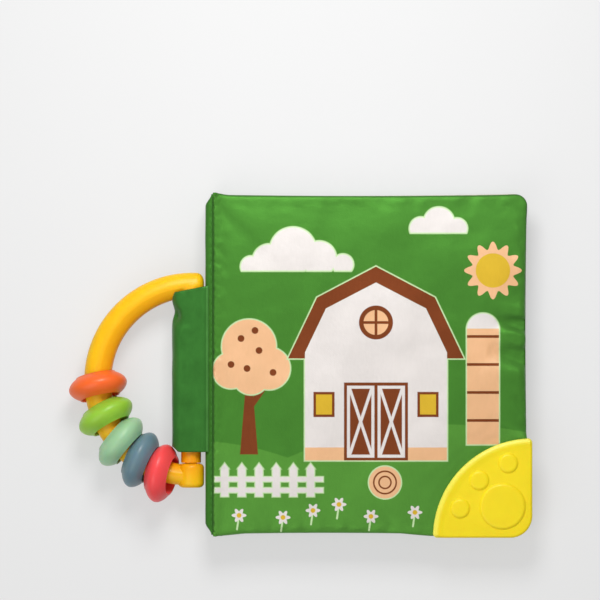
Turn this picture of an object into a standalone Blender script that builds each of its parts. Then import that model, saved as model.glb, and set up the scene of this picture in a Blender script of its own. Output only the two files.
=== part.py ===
"""Crinkle cloth book with a beaded ring handle and a corner teether.

The book lies closed on its back cover. +X runs across the page away from the spine, +Y up the page and
+Z out of the front cover. The origin is on the face that the back cover rests on, level with the middle
of the page. Lengths are in metres.
"""

import math

import bmesh
import bpy
from mathutils import Vector

# Book
SEAM_X = -0.07675
LEAF_RIGHT_X = 0.0810
PAGE_RIGHT_X = 0.0790
COVER_HALF_HEIGHT = 0.0860
PAGE_HALF_HEIGHT = 0.0842
LEAF_CORNER_RADIUS = 0.0070
SIDE_DRAWN_IN = 0.0012
CLOTH = 0.0006
SEAM_HALF_THICKNESS = 0.0010
COVER_HALF_THICKNESS = 0.0030
PAGE_HALF_THICKNESS = 0.00225
LEAF_GAP = 0.00035
PANEL_GAP = 0.00015
SIDE_STEPS = 5
CORNER_STEPS = 3
BITE_STEPS = 9

# How far in from the seam each ring of a panel lies, and its share of the rise to the full thickness
PILLOW_PROFILE = ((0.0, 0.0), (0.0018, 0.42), (0.0060, 0.76), (0.0130, 0.93), (0.0260, 1.0))

WADDING_INSET = 0.0050
WADDING_CLEARANCE = 0.0005
WADDING_EDGE_BEVEL = 0.0009
FILM_INSET = 0.0150
FILM_THICKNESS = 0.0003

# Spine, hem and hinges
SPINE_LEFT_X = -0.0810
SPINE_GAP = 0.0003
SPINE_BOTTOM_Z = 0.0003
SPINE_TOP_Z = 0.0211
SPINE_HALF_HEIGHT = 0.0852
SPINE_CHAMFER = 0.0030
SPINE_EDGE_BEVEL = 0.0008
PAGE_HINGE_Z = 0.0214
COVER_SEAM_LIFT = 0.00135
COVER_LIFT_REACH = 0.0026
HEM_LEFT_X = -0.0811
HEM_RIGHT_X = -0.07925
HEM_BOTTOM_Z = 0.0214
HEM_TOP_Z = 0.0223
HEM_EDGE_BEVEL = 0.0003

# Ring handle
RING_CENTRE = Vector((-0.0875, -0.00825, 0.01475))
RING_RADIUS = 0.04735
RING_SECTION = ((0.00685, 0.0), (0.0061, 0.0036), (0.0034, 0.0060), (-0.0012, 0.00685),
                (-0.0043, 0.0054), (-0.0063, 0.0027))
RING_INNER_SIDE = -0.00685
RING_POINTS = 25
RING_UPPER_SCALE = 0.90
RING_LOWER_SCALE = 0.72
# The ring's upper tip: how far past the arc's end each section lies, and its size
RING_TIP = ((0.0059, 0.40), (0.0057, 0.60), (0.0050, 0.80), (0.0038, 0.90))
BOSS_X = -0.0881
BOSS_RADIUS = 0.0065
BOSS_EDGE_BEVEL = 0.0024
UPPER_BOSS_Y = (0.0329, 0.0420)
LOWER_BOSS_Y = (-0.06175, -0.0496)
BAR_RADIUS = 0.0050
BAR_END_GAP = 0.0003
SPIGOT_RADIUS = 0.0030
SPIGOT_LENGTH = 0.0048
SOCKET_CLEARANCE = 0.0003
SOCKET_MOUTH = 0.0009

# Sleeve round the bar
SLEEVE_LEFT_X = -0.0975
SLEEVE_RIGHT_X = -0.0814
SLEEVE_BOTTOM_Z = 0.0069
SLEEVE_TOP_Z = 0.0228
SLEEVE_Y = (-0.0438, 0.0374)
SLEEVE_WALL = 0.0009
SLEEVE_LEFT_RADIUS = 0.0052
SLEEVE_RIGHT_RADIUS = 0.0014
SLEEVE_CORNER_STEPS = 4
SLEEVE_TOP_SLANT = 0.0030
SLEEVE_FOOT_LIFT = 0.0026
SLEEVE_FOOT_LIFT_FROM_X = -0.0940
SLEEVE_CLEARANCE = 0.00035

# Beads: name, degrees round the ring from -X towards -Y, how far outwards and upwards the bead hangs
# from the ring's centre line, the tilt of its long axis, its lean back on the bead before, and colour
BEAD_RADIUS = 0.01475
BEAD_HALF_THICKNESS = 0.0058
BEAD_HOLE_RADIUS = 0.0092
BEAD_LIP = 0.0008
BEAD_FULLNESS = 1.9
BEAD_RIM_STEPS = 6
BEAD_SEGMENTS = 20
BEADS = (
    ("bead_orange", 3.3, 0.0, 0.0, 12.1, 9.3, (0.87, 0.10, 0.02)),
    ("bead_lime", 22.3, -0.0005, -0.0002, 29.4, 10.2, (0.26, 0.53, 0.03)),
    ("bead_mint", 40.4, -0.0003, 0.0001, 49.9, 5.5, (0.32, 0.62, 0.36)),
    ("bead_blue", 56.8, 0.0, -0.0002, 65.4, 10.5, (0.13, 0.25, 0.31)),
    ("bead_coral", 71.6, 0.0015, 0.0012, 77.6, 14.6, (0.91, 0.09, 0.09)),
)

# Corner teether
TEETHER_CORNER = Vector((0.08275, -0.08675))
TEETHER_RADIUS = 0.0498
TEETHER_CORNER_RADIUS = 0.0110
TEETHER_TIP_RADIUS = 0.0022
TEETHER_THICKNESS = 0.0060
TEETHER_EDGE_BEVEL = 0.0008
TEETHER_GRIP = 0.0055
TEETHER_SLOT_HALF = 0.0013
TEETHER_SLOT_CLEARANCE = 0.0003
TEETHER_SLOT_ANGLES = (60.0, 210.0)
TEETHER_SLOT_STEPS = 24
TEETHER_DIP_START = 0.0006
TEETHER_DIP_REACH = 0.0075
TEETHER_FILLING_REACH = 0.0140
TEETHER_RIM_RISE = 0.0006
TEETHER_RIM_DEPTH = 0.0012
TEETHER_RIM_SETBACK = 0.0004
TEETHER_RIM_WIDTH = 0.0022
TEETHER_RIM_BEVEL = 0.0005
TEETHER_RIM_ANGLES = (91.4, 178.6)
TEETHER_RIM_STEPS = 18
TEETHER_PAD_RISE = 0.0003
TEETHER_PAD_DEPTH = 0.0018
TEETHER_PAD_BEVEL = 0.0008
TEETHER_PADS = ((-0.0121, 0.0373, 0.0050), (-0.0266, 0.0287, 0.0050), (-0.0362, 0.0147, 0.0050),
                (-0.0149, 0.0157, 0.0116))

# Heights of the stack, from the face it rests on
BACK_COVER_Z = COVER_HALF_THICKNESS
LEAF_2_Z = BACK_COVER_Z + COVER_HALF_THICKNESS + LEAF_GAP + PAGE_HALF_THICKNESS
LEAF_1_Z = LEAF_2_Z + 2 * PAGE_HALF_THICKNESS + LEAF_GAP
FRONT_COVER_Z = LEAF_1_Z + PAGE_HALF_THICKNESS + LEAF_GAP + COVER_HALF_THICKNESS

PAGE_HINGE = Vector((SEAM_X, 0.0, PAGE_HINGE_Z))
RING_HINGE = Vector((SLEEVE_RIGHT_X, 0.0, SLEEVE_TOP_Z))


def clear_scene():
    for obj in list(bpy.data.objects):
        bpy.data.objects.remove(obj, do_unlink=True)


def new_collection(name):
    collection = bpy.data.collections.new(name)
    bpy.context.scene.collection.children.link(collection)
    return collection


def new_material(name, colour, roughness, coat=0.0):
    material = bpy.data.materials.new(name)
    material.use_nodes = True
    shader = material.node_tree.nodes["Principled BSDF"]
    shader.inputs["Base Color"].default_value = (*colour, 1.0)
    shader.inputs["Roughness"].default_value = roughness
    shader.inputs["Coat Weight"].default_value = coat
    return material


def new_empty(name, location, parent=None):
    """An empty on a joint's axis, which its moving pieces hang from."""
    empty = bpy.data.objects.new(name, None)
    book.objects.link(empty)
    empty.location = location
    if parent:
        attach(empty, parent)
    return empty


def attach(obj, parent):
    """Parent without moving: both matrices are worked out first."""
    bpy.context.view_layer.update()
    obj.parent = parent
    obj.matrix_parent_inverse = parent.matrix_world.inverted()


def new_piece(name, mesh, material, parent=None):
    mesh.name = name
    obj = bpy.data.objects.new(name, mesh)
    book.objects.link(obj)
    mesh.materials.clear()
    mesh.materials.append(material)
    if parent:
        attach(obj, parent)
    return obj


def new_cutter(name, mesh):
    obj = bpy.data.objects.new(name, mesh)
    cutters.objects.link(obj)
    obj.hide_render = True
    obj.display_type = "WIRE"
    return obj


def mesh_from(bm, name):
    bmesh.ops.recalc_face_normals(bm, faces=bm.faces)
    mesh = bpy.data.meshes.new(name)
    bm.to_mesh(mesh)
    bm.free()
    return mesh


def prism_mesh(points, bottom, top):
    """An outline raised from one height to another."""
    bm = bmesh.new()
    face = bm.faces.new([bm.verts.new((*point, bottom)) for point in points])
    raised = bmesh.ops.extrude_face_region(bm, geom=[face], use_keep_orig=True)
    for item in raised["geom"]:
        if isinstance(item, bmesh.types.BMVert):
            item.co.z = top
    return mesh_from(bm, "prism")


def boolean(obj, cutter, operation):
    modifier = obj.modifiers.new(f"{operation.lower()} {cutter.name}", "BOOLEAN")
    modifier.operation = operation
    modifier.solver = "EXACT"
    modifier.object = cutter


def bevel(obj, width, segments, angle_degrees=40.0):
    modifier = obj.modifiers.new("rounded edges", "BEVEL")
    modifier.width = width
    modifier.segments = segments
    modifier.limit_method = "ANGLE"
    modifier.angle_limit = math.radians(angle_degrees)


def smooth(obj, angle_degrees=35.0):
    obj.data.shade_smooth()
    obj.data.set_sharp_from_angle(angle=math.radians(angle_degrees))


def arc_points(centre, radius, first, last, steps):
    """Points of an arc from one angle to another, in degrees, both ends included."""
    points = []
    for step in range(steps + 1):
        angle = math.radians(first + (last - first) * step / steps)
        points.append(Vector((centre[0] + radius * math.cos(angle), centre[1] + radius * math.sin(angle))))
    return points


def side_points(start, end, inward):
    """The points between two corners, on a side that the sewing draws in towards its middle."""
    points = []
    for step in range(1, SIDE_STEPS):
        share = step / SIDE_STEPS
        points.append(start.lerp(end, share) + inward * SIDE_DRAWN_IN * math.sin(math.pi * share))
    return points


def leaf_outline(right_x, half_height, bite_radius):
    """A leaf's seam line, anticlockwise from the foot of the spine.

    A bite cuts the lower right corner back along an arc about the teether's corner.
    """
    radius = LEAF_CORNER_RADIUS
    left = SEAM_X
    outline = [Vector((left, -half_height))]
    if bite_radius:
        down = math.degrees(math.asin((-half_height - TEETHER_CORNER.y) / bite_radius))
        along = math.degrees(math.acos((right_x - TEETHER_CORNER.x) / bite_radius))
        corner = arc_points(TEETHER_CORNER, bite_radius, 180.0 - down, along, BITE_STEPS)
    else:
        corner = arc_points((right_x - radius, -half_height + radius), radius, -90.0, 0.0, CORNER_STEPS)
    outline += side_points(outline[0], corner[0], Vector((0, 1)))
    outline += corner
    upper = arc_points((right_x - radius, half_height - radius), radius, 0.0, 90.0, CORNER_STEPS)
    outline += side_points(corner[-1], upper[0], Vector((-1, 0)))
    outline += upper
    top_left = Vector((left, half_height))
    outline += side_points(upper[-1], top_left, Vector((0, -1)))
    outline.append(top_left)
    return outline


class Leaf:
    """One leaf of the book: its seam line, its height in the stack and its thickness."""

    def __init__(self, right_x, half_height, middle_z, half_thickness, lift=0.0, bitten=False):
        seam_bite = TEETHER_RADIUS - TEETHER_GRIP if bitten else 0.0
        filling_bite = TEETHER_RADIUS + TEETHER_FILLING_REACH if bitten else 0.0
        self.outline = leaf_outline(right_x, half_height, seam_bite)
        self.filling_outline = leaf_outline(right_x, half_height, filling_bite)
        self.centre = Vector(((SEAM_X + right_x) / 2, 0.0))
        self.half_width = (right_x - SEAM_X) / 2
        self.half_height = half_height
        self.middle_z = middle_z
        self.half_thickness = half_thickness
        self.lift = lift
        self.bitten = bitten

    def seam_plane(self, x):
        """The seam's height: at the spine a cover is sewn near the top of the stack."""
        return self.middle_z + self.lift * math.exp(-(x - SEAM_X) / COVER_LIFT_REACH)

    def half_at(self, share, x, y):
        """Half the leaf's thickness, which stays thin where the teether grips the cloth."""
        if self.bitten:
            from_corner = math.hypot(x - TEETHER_CORNER.x, y - TEETHER_CORNER.y)
            past_grip = from_corner - TEETHER_RADIUS - TEETHER_DIP_START
            share = min(share, max(0.0, past_grip / TEETHER_DIP_REACH))
        return SEAM_HALF_THICKNESS + share * (self.half_thickness - SEAM_HALF_THICKNESS)

    def inset(self, point, distance):
        """A point drawn towards the middle, so that the leaf's sides move in by the distance."""
        offset = Vector(point[:2]) - self.centre
        return self.centre + Vector((offset.x * (1 - distance / self.half_width),
                                     offset.y * (1 - distance / self.half_height)))


def panel_mesh(leaf, facing):
    """A cloth panel: a dish from the seam line to the flat middle. facing is 1 for the upper panel."""
    bm = bmesh.new()
    corners = [bm.verts.new((p.x, p.y, leaf.seam_plane(p.x) + facing * PANEL_GAP)) for p in leaf.outline]
    face = bm.faces.new(corners)
    for distance, share in PILLOW_PROFILE:
        face = bmesh.ops.extrude_discrete_faces(bm, faces=[face])["faces"][0]
        for vert, point in zip(face.verts, leaf.outline):
            spot = leaf.inset(point, distance)
            vert.co = (*spot, leaf.seam_plane(spot.x) + facing * leaf.half_at(share, *spot))
    mesh = bpy.data.meshes.new("panel")
    if facing < 0:
        bmesh.ops.reverse_faces(bm, faces=bm.faces)
    bm.to_mesh(mesh)
    bm.free()
    return mesh


def cloth_panel(name, leaf, facing, material, parent):
    obj = new_piece(name, panel_mesh(leaf, facing), material, parent)
    modifier = obj.modifiers.new("cloth", "SOLIDIFY")
    modifier.thickness = CLOTH
    modifier.offset = -1.0
    modifier.use_even_offset = True
    smooth(obj)
    return obj


def slab_mesh(leaf, inset, bottom_z, top_z):
    """A flat layer inside a leaf, with the leaf's outline drawn in."""
    return prism_mesh([leaf.inset(point, inset) for point in leaf.filling_outline], bottom_z, top_z)


def filling(prefix, leaf, parent):
    """The wadding and the crinkle film between a leaf's two panels."""
    inner_half = leaf.half_at(PILLOW_PROFILE[2][1], leaf.centre.x, 0.0) - CLOTH
    film_top = leaf.middle_z + leaf.half_at(PILLOW_PROFILE[3][1], leaf.centre.x, 0.0) - CLOTH - PANEL_GAP * 2
    film_bottom = film_top - FILM_THICKNESS
    wadding_bottom = leaf.middle_z - inner_half + WADDING_CLEARANCE
    wadding_top = min(film_bottom - PANEL_GAP * 2, leaf.middle_z + inner_half - WADDING_CLEARANCE)
    mesh = slab_mesh(leaf, WADDING_INSET, wadding_bottom, wadding_top)
    pad = new_piece(f"{prefix}_wadding", mesh, wadding_white, parent)
    bevel(pad, WADDING_EDGE_BEVEL, 2)
    smooth(pad)
    new_piece(f"{prefix}_film", slab_mesh(leaf, FILM_INSET, film_bottom, film_top), film_clear, parent)


def rounded_box(name, low, high, edge, material, parent=None):
    """A box between two corners, with its edges rounded."""
    bm = bmesh.new()
    bmesh.ops.create_cube(bm, size=1.0)
    size = Vector(high) - Vector(low)
    bmesh.ops.scale(bm, vec=size, verts=bm.verts)
    obj = new_piece(name, mesh_from(bm, name), material, parent)
    obj.location = (Vector(low) + Vector(high)) / 2
    bevel(obj, edge, 2)
    smooth(obj)
    return obj


def spine_strip():
    """The folded strip of cover cloth that the leaves' seam allowances are stitched into."""
    right = SEAM_X - SPINE_GAP
    curve = bpy.data.curves.new("spine outline", "CURVE")
    curve.dimensions = "2D"
    curve.fill_mode = "BOTH"
    curve.extrude = (SPINE_TOP_Z - SPINE_BOTTOM_Z) / 2
    spline = curve.splines.new("POLY")
    half = SPINE_HALF_HEIGHT
    corners = ((right, -half), (right, half), (SPINE_LEFT_X + SPINE_CHAMFER, half),
               (SPINE_LEFT_X, half - 2 * SPINE_CHAMFER), (SPINE_LEFT_X, -half + 2 * SPINE_CHAMFER),
               (SPINE_LEFT_X + SPINE_CHAMFER, -half))
    spline.points.add(len(corners) - 1)
    for point, corner in zip(spline.points, corners):
        point.co = (*corner, 0.0, 1.0)
    spline.use_cyclic_u = True
    obj = curve_to_mesh("spine bar", curve, Vector((0.0, 0.0, (SPINE_TOP_Z + SPINE_BOTTOM_Z) / 2)))
    piece = new_piece("spine_strip", obj.data, cover_green)
    piece.location = obj.location
    bpy.data.objects.remove(obj)
    bevel(piece, SPINE_EDGE_BEVEL, 2)
    smooth(piece)


def curve_to_mesh(name, curve, location, rotation=(0.0, 0.0, 0.0)):
    """A mesh object made from a curve's evaluated shape, with its caps welded on."""
    source = bpy.data.objects.new(name + " curve", curve)
    cutters.objects.link(source)
    source.location = location
    source.rotation_euler = rotation
    bpy.context.view_layer.update()
    mesh = bpy.data.meshes.new_from_object(source.evaluated_get(bpy.context.evaluated_depsgraph_get()))
    bm = bmesh.new()
    bm.from_mesh(mesh)
    bmesh.ops.remove_doubles(bm, verts=bm.verts, dist=0.000005)
    bmesh.ops.recalc_face_normals(bm, faces=bm.faces)
    bm.to_mesh(mesh)
    bm.free()
    obj = bpy.data.objects.new(name, mesh)
    cutters.objects.link(obj)
    obj.matrix_world = source.matrix_world
    bpy.data.objects.remove(source)
    return obj


def ring_section(grow):
    """The ring's ridged section as a closed curve: x points out from the ring's centre, y is up."""
    half = list(RING_SECTION)
    points = half + [(RING_INNER_SIDE, 0.0)] + [(x, -z) for x, z in reversed(half[1:])]
    curve = bpy.data.curves.new("ring section", "CURVE")
    curve.dimensions = "2D"
    spline = curve.splines.new("POLY")
    spline.points.add(len(points) - 1)
    for point, (x, z) in zip(spline.points, points):
        reach = math.hypot(x, z)
        stretch = (reach + grow) / reach
        point.co = (x * stretch, z * stretch, 0.0, 1.0)
    spline.use_cyclic_u = True
    section = bpy.data.objects.new("ring section", curve)
    cutters.objects.link(section)
    section.hide_render = True
    return section


def ring_line():
    """The ring's middle line from its upper tip to its lower boss: x and y from its centre, and size.

    The upper half keeps one outer edge, so that it narrows on the inside alone.
    """
    half_width = RING_SECTION[0][0]
    tip_radius = RING_RADIUS + half_width * (1.0 - RING_UPPER_SCALE)
    line = [(past, tip_radius, scale) for past, scale in RING_TIP]
    for index in range(RING_POINTS):
        share = index / (RING_POINTS - 1)
        upper = share < 0.5
        end_scale = RING_UPPER_SCALE if upper else RING_LOWER_SCALE
        scale = 1.0 - (1.0 - end_scale) * (2 * share - 1) ** 2
        radius = RING_RADIUS + (half_width * (1.0 - scale) if upper else 0.0)
        angle = math.radians(90.0 + 180.0 * share)
        line.append((radius * math.cos(angle), radius * math.sin(angle), scale))
    return line


def ring_sweep(name, grow=0.0):
    """The half ring: its section swept from its upper tip, round by -X, to the lower boss."""
    curve = bpy.data.curves.new(name, "CURVE")
    curve.dimensions = "2D"
    curve.bevel_mode = "OBJECT"
    section = ring_section(grow)
    curve.bevel_object = section
    curve.use_fill_caps = True
    spline = curve.splines.new("POLY")
    line = ring_line()
    spline.points.add(len(line) - 1)
    for point, (x, y, scale) in zip(spline.points, line):
        point.co = (x, y, 0.0, 1.0)
        point.radius = scale
    obj = curve_to_mesh(name, curve, RING_CENTRE)
    bpy.data.objects.remove(section)
    return obj


def cylinder_along_y(name, radius, ends, edge=0.0, segments=24):
    """A cylinder mesh on the bar's axis, between two heights of the page."""
    bm = bmesh.new()
    bmesh.ops.create_cone(bm, cap_ends=True, segments=segments, radius1=radius, radius2=radius,
                          depth=ends[1] - ends[0])
    cutter = new_cutter(name, mesh_from(bm, name))
    cutter.rotation_euler = (math.pi / 2, 0.0, 0.0)
    cutter.location = (BOSS_X, (ends[0] + ends[1]) / 2, RING_CENTRE.z)
    if edge:
        bevel(cutter, edge, 3)
    return cutter


def ring_arc(parent):
    """The moulded half ring, with a turned boss at each end and a socket in each boss."""
    sweep = ring_sweep("half ring")
    piece = new_piece("ring_arc", sweep.data, ring_yellow)
    piece.location = RING_CENTRE
    attach(piece, parent)
    bpy.data.objects.remove(sweep)
    for label, ends in (("upper boss", UPPER_BOSS_Y), ("lower boss", LOWER_BOSS_Y)):
        boolean(piece, cylinder_along_y(label, BOSS_RADIUS, ends, BOSS_EDGE_BEVEL), "UNION")
    depth = SPIGOT_LENGTH + SOCKET_CLEARANCE
    upper = (UPPER_BOSS_Y[0] - SOCKET_MOUTH, UPPER_BOSS_Y[0] + depth)
    lower = (LOWER_BOSS_Y[1] - depth, LOWER_BOSS_Y[1] + SOCKET_MOUTH)
    for label, ends in (("upper socket", upper), ("lower socket", lower)):
        socket = cylinder_along_y(label, SPIGOT_RADIUS + SOCKET_CLEARANCE, ends, segments=16)
        boolean(piece, socket, "DIFFERENCE")
    smooth(piece)


def turned(name, profile, steps, material, closed=False):
    """A solid turned about local Z from a profile of (radius, height) points, top to bottom."""
    bm = bmesh.new()
    verts = [bm.verts.new((radius, 0.0, height)) for radius, height in profile]
    pairs = list(zip(verts, verts[1:]))
    if closed:
        pairs.append((verts[-1], verts[0]))
    for first, second in pairs:
        bm.edges.new((first, second))
    mesh = bpy.data.meshes.new(name)
    bm.to_mesh(mesh)
    bm.free()
    obj = new_piece(name, mesh, material)
    modifier = obj.modifiers.new("turned", "SCREW")
    modifier.steps = steps
    modifier.render_steps = steps
    modifier.use_merge_vertices = True
    modifier.merge_threshold = 0.00001
    modifier.use_smooth_shade = True
    return obj


def ring_bar(parent):
    """The straight rod of the ring, with a spigot at each end that snaps into a boss."""
    low = LOWER_BOSS_Y[1] + BAR_END_GAP
    high = UPPER_BOSS_Y[0] - BAR_END_GAP
    half = (high - low) / 2
    tip = half + SPIGOT_LENGTH - BAR_END_GAP
    profile = ((0.0, tip), (SPIGOT_RADIUS, tip), (SPIGOT_RADIUS, half), (BAR_RADIUS, half),
               (BAR_RADIUS, -half), (SPIGOT_RADIUS, -half), (SPIGOT_RADIUS, -tip), (0.0, -tip))
    bar = turned("ring_bar", profile, 20, ring_yellow)
    bar.rotation_euler = (math.pi / 2, 0.0, 0.0)
    bar.location = (BOSS_X, (low + high) / 2, RING_CENTRE.z)
    attach(bar, parent)


def bead_profile():
    """A bead's section: a full oval, cut off at the hole, with the hole's lips eased."""
    power = 1 / BEAD_FULLNESS
    oval_height = BEAD_HALF_THICKNESS / (1 - (BEAD_HOLE_RADIUS / BEAD_RADIUS) ** BEAD_FULLNESS) ** power
    rim = []
    for step in range(1, BEAD_RIM_STEPS):
        angle = math.pi / 2 * step / BEAD_RIM_STEPS
        radius = BEAD_RADIUS * math.cos(angle) ** (2 * power)
        height = oval_height * math.sin(angle) ** (2 * power)
        if radius > BEAD_HOLE_RADIUS + BEAD_LIP:
            rim.append((radius, min(height, BEAD_HALF_THICKNESS)))
    eased = BEAD_HALF_THICKNESS - BEAD_LIP
    upper = rim + [(BEAD_HOLE_RADIUS + BEAD_LIP, BEAD_HALF_THICKNESS), (BEAD_HOLE_RADIUS, eased)]
    lower = [(radius, -height) for radius, height in upper]
    return list(reversed(upper)) + [(BEAD_RADIUS, 0.0)] + lower


def bead(name, angle, outwards, upwards, tilt, lean, colour, parent):
    """One bead, its hole round the ring, tilted and leaning as it hangs."""
    piece = turned(name, bead_profile(), BEAD_SEGMENTS, new_material(name, colour, 0.32, 0.3), closed=True)
    around = math.radians(angle)
    out = Vector((-math.cos(around), -math.sin(around), 0.0))
    piece.location = RING_CENTRE + out * (RING_RADIUS + outwards) + Vector((0.0, 0.0, upwards))
    piece.rotation_euler = (math.pi / 2 - math.radians(lean), 0.0, math.radians(tilt))
    attach(piece, parent)


def sleeve_loop(half_x, half_z, radii):
    """A rounded rectangle, anticlockwise, about its own middle, with its own radius on each side."""
    left_radius, right_radius = radii
    points = []
    spots = ((half_x, -half_z, right_radius, -90.0), (half_x, half_z, right_radius, 0.0),
             (-half_x, half_z, left_radius, 90.0), (-half_x, -half_z, left_radius, 180.0))
    for x, z, radius, first in spots:
        corner = (x - math.copysign(radius, x), z - math.copysign(radius, z))
        points += arc_points(corner, radius, first, first + 90.0, SLEEVE_CORNER_STEPS)
    return points


def sleeve(parent):
    """The cloth tube round the bar, cut away where the half ring and its boss pass into it."""
    half_x = (SLEEVE_RIGHT_X - SLEEVE_LEFT_X) / 2
    half_z = (SLEEVE_TOP_Z - SLEEVE_BOTTOM_Z) / 2
    curve = bpy.data.curves.new("sleeve outline", "CURVE")
    curve.dimensions = "2D"
    curve.fill_mode = "BOTH"
    curve.extrude = (SLEEVE_Y[1] - SLEEVE_Y[0]) / 2
    radii = (SLEEVE_LEFT_RADIUS, SLEEVE_RIGHT_RADIUS)
    inner_radii = (SLEEVE_LEFT_RADIUS - SLEEVE_WALL, SLEEVE_RIGHT_RADIUS - SLEEVE_WALL)
    loops = (sleeve_loop(half_x, half_z, radii),
             sleeve_loop(half_x - SLEEVE_WALL, half_z - SLEEVE_WALL, inner_radii))
    for loop in loops:
        spline = curve.splines.new("POLY")
        spline.points.add(len(loop) - 1)
        for point, spot in zip(spline.points, loop):
            point.co = (*spot, 0.0, 1.0)
        spline.use_cyclic_u = True
    middle = Vector(((SLEEVE_LEFT_X + SLEEVE_RIGHT_X) / 2, (SLEEVE_Y[0] + SLEEVE_Y[1]) / 2,
                     (SLEEVE_BOTTOM_Z + SLEEVE_TOP_Z) / 2))
    tube = curve_to_mesh("sleeve tube", curve, middle, (math.pi / 2, 0.0, 0.0))
    for vert in tube.data.vertices:
        past = SLEEVE_FOOT_LIFT_FROM_X - (middle.x + vert.co.x)
        if vert.co.z < 0.0:
            vert.co.z -= SLEEVE_TOP_SLANT * vert.co.x / (2 * half_x)
        elif past > 0.0:
            vert.co.z -= SLEEVE_FOOT_LIFT * past / (SLEEVE_FOOT_LIFT_FROM_X - SLEEVE_LEFT_X)
    piece = new_piece("sleeve", tube.data, tab_green)
    piece.matrix_world = tube.matrix_world
    bpy.data.objects.remove(tube)
    attach(piece, parent)
    path = ring_sweep("ring path", SLEEVE_CLEARANCE)
    path.hide_render = True
    path.display_type = "WIRE"
    boolean(piece, path, "DIFFERENCE")
    ends = (UPPER_BOSS_Y[0] - SLEEVE_CLEARANCE, UPPER_BOSS_Y[1] + SLEEVE_CLEARANCE)
    boolean(piece, cylinder_along_y("boss path", BOSS_RADIUS + SLEEVE_CLEARANCE, ends), "DIFFERENCE")
    smooth(piece)


def teether_outline():
    """The teether's quarter disc, anticlockwise from the foot of its arc, about its own corner."""
    radius = TEETHER_RADIUS
    tip = TEETHER_TIP_RADIUS
    corner = TEETHER_CORNER_RADIUS
    points = arc_points((-radius + tip, tip), tip, 180.0, 270.0, 3)
    points += arc_points((-corner, corner), corner, -90.0, 0.0, 6)
    points += arc_points((-tip, radius - tip), tip, 0.0, 90.0, 3)
    reach = math.degrees(math.asin(2 * tip / radius))
    points += arc_points((0.0, 0.0), radius, 90.0 + reach, 180.0 - reach, 14)
    return points


def band_outline(outer, inner, angles, steps):
    """A band along the teether's arc, about the teether's corner."""
    points = arc_points((0.0, 0.0), inner, *angles, steps)
    points += reversed(arc_points((0.0, 0.0), outer, *angles, steps))
    return points


def teether(parent):
    """The moulded corner: a slot in its arc grips the cloth. A rim and round pads stand on its face."""
    half = TEETHER_THICKNESS / 2
    face = half - TEETHER_RIM_RISE
    place = Vector((*TEETHER_CORNER, FRONT_COVER_Z))
    piece = new_piece("corner_teether", prism_mesh(teether_outline(), -half, face), teether_yellow)
    piece.location = place
    attach(piece, parent)
    bevel(piece, TEETHER_EDGE_BEVEL, 2)
    outer = TEETHER_RADIUS + TEETHER_GRIP
    inner = TEETHER_RADIUS - TEETHER_GRIP - TEETHER_SLOT_CLEARANCE
    gripped = band_outline(outer, inner, TEETHER_SLOT_ANGLES, TEETHER_SLOT_STEPS)
    slot = new_cutter("cloth slot", prism_mesh(gripped, -TEETHER_SLOT_HALF, TEETHER_SLOT_HALF))
    slot.location = place
    boolean(piece, slot, "DIFFERENCE")
    rim_outer = TEETHER_RADIUS - TEETHER_RIM_SETBACK
    along_arc = band_outline(rim_outer, rim_outer - TEETHER_RIM_WIDTH, TEETHER_RIM_ANGLES, TEETHER_RIM_STEPS)
    rim = new_cutter("rim", prism_mesh(along_arc, half - TEETHER_RIM_DEPTH, half))
    rim.location = place
    bevel(rim, TEETHER_RIM_BEVEL, 2)
    boolean(piece, rim, "UNION")
    for index, (x, y, radius) in enumerate(TEETHER_PADS):
        bm = bmesh.new()
        bmesh.ops.create_cone(bm, cap_ends=True, segments=20, radius1=radius, radius2=radius,
                              depth=TEETHER_PAD_DEPTH)
        pad = new_cutter(f"pad {index + 1}", mesh_from(bm, "pad"))
        pad.location = place + Vector((x, y, half + TEETHER_PAD_RISE - TEETHER_PAD_DEPTH / 2))
        bevel(pad, TEETHER_PAD_BEVEL, 2)
        boolean(piece, pad, "UNION")
    smooth(piece)


def build_covers_and_leaves():
    front = Leaf(LEAF_RIGHT_X, COVER_HALF_HEIGHT, FRONT_COVER_Z, COVER_HALF_THICKNESS,
                 COVER_SEAM_LIFT, bitten=True)
    leaf_1 = Leaf(PAGE_RIGHT_X, PAGE_HALF_HEIGHT, LEAF_1_Z, PAGE_HALF_THICKNESS)
    leaf_2 = Leaf(PAGE_RIGHT_X, PAGE_HALF_HEIGHT, LEAF_2_Z, PAGE_HALF_THICKNESS)
    back = Leaf(LEAF_RIGHT_X, COVER_HALF_HEIGHT, BACK_COVER_Z, COVER_HALF_THICKNESS)
    leaf_2_hinge = new_empty("leaf_2_hinge", PAGE_HINGE)
    leaf_1_hinge = new_empty("leaf_1_hinge", PAGE_HINGE, leaf_2_hinge)
    cover_hinge = new_empty("front_cover_hinge", PAGE_HINGE, leaf_1_hinge)
    cloth_panel("front_cover_cloth", front, 1, cover_green, cover_hinge)
    cloth_panel("front_cover_lining", front, -1, page_cloth, cover_hinge)
    filling("front_cover", front, cover_hinge)
    cloth_panel("leaf_1_front_cloth", leaf_1, 1, page_cloth, leaf_1_hinge)
    cloth_panel("leaf_1_back_cloth", leaf_1, -1, page_cloth, leaf_1_hinge)
    filling("leaf_1", leaf_1, leaf_1_hinge)
    cloth_panel("leaf_2_front_cloth", leaf_2, 1, page_cloth, leaf_2_hinge)
    cloth_panel("leaf_2_back_cloth", leaf_2, -1, page_cloth, leaf_2_hinge)
    filling("leaf_2", leaf_2, leaf_2_hinge)
    cloth_panel("back_cover_lining", back, 1, page_cloth, None)
    cloth_panel("back_cover_cloth", back, -1, cover_green, None)
    filling("back_cover", back, None)
    teether(cover_hinge)


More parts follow.
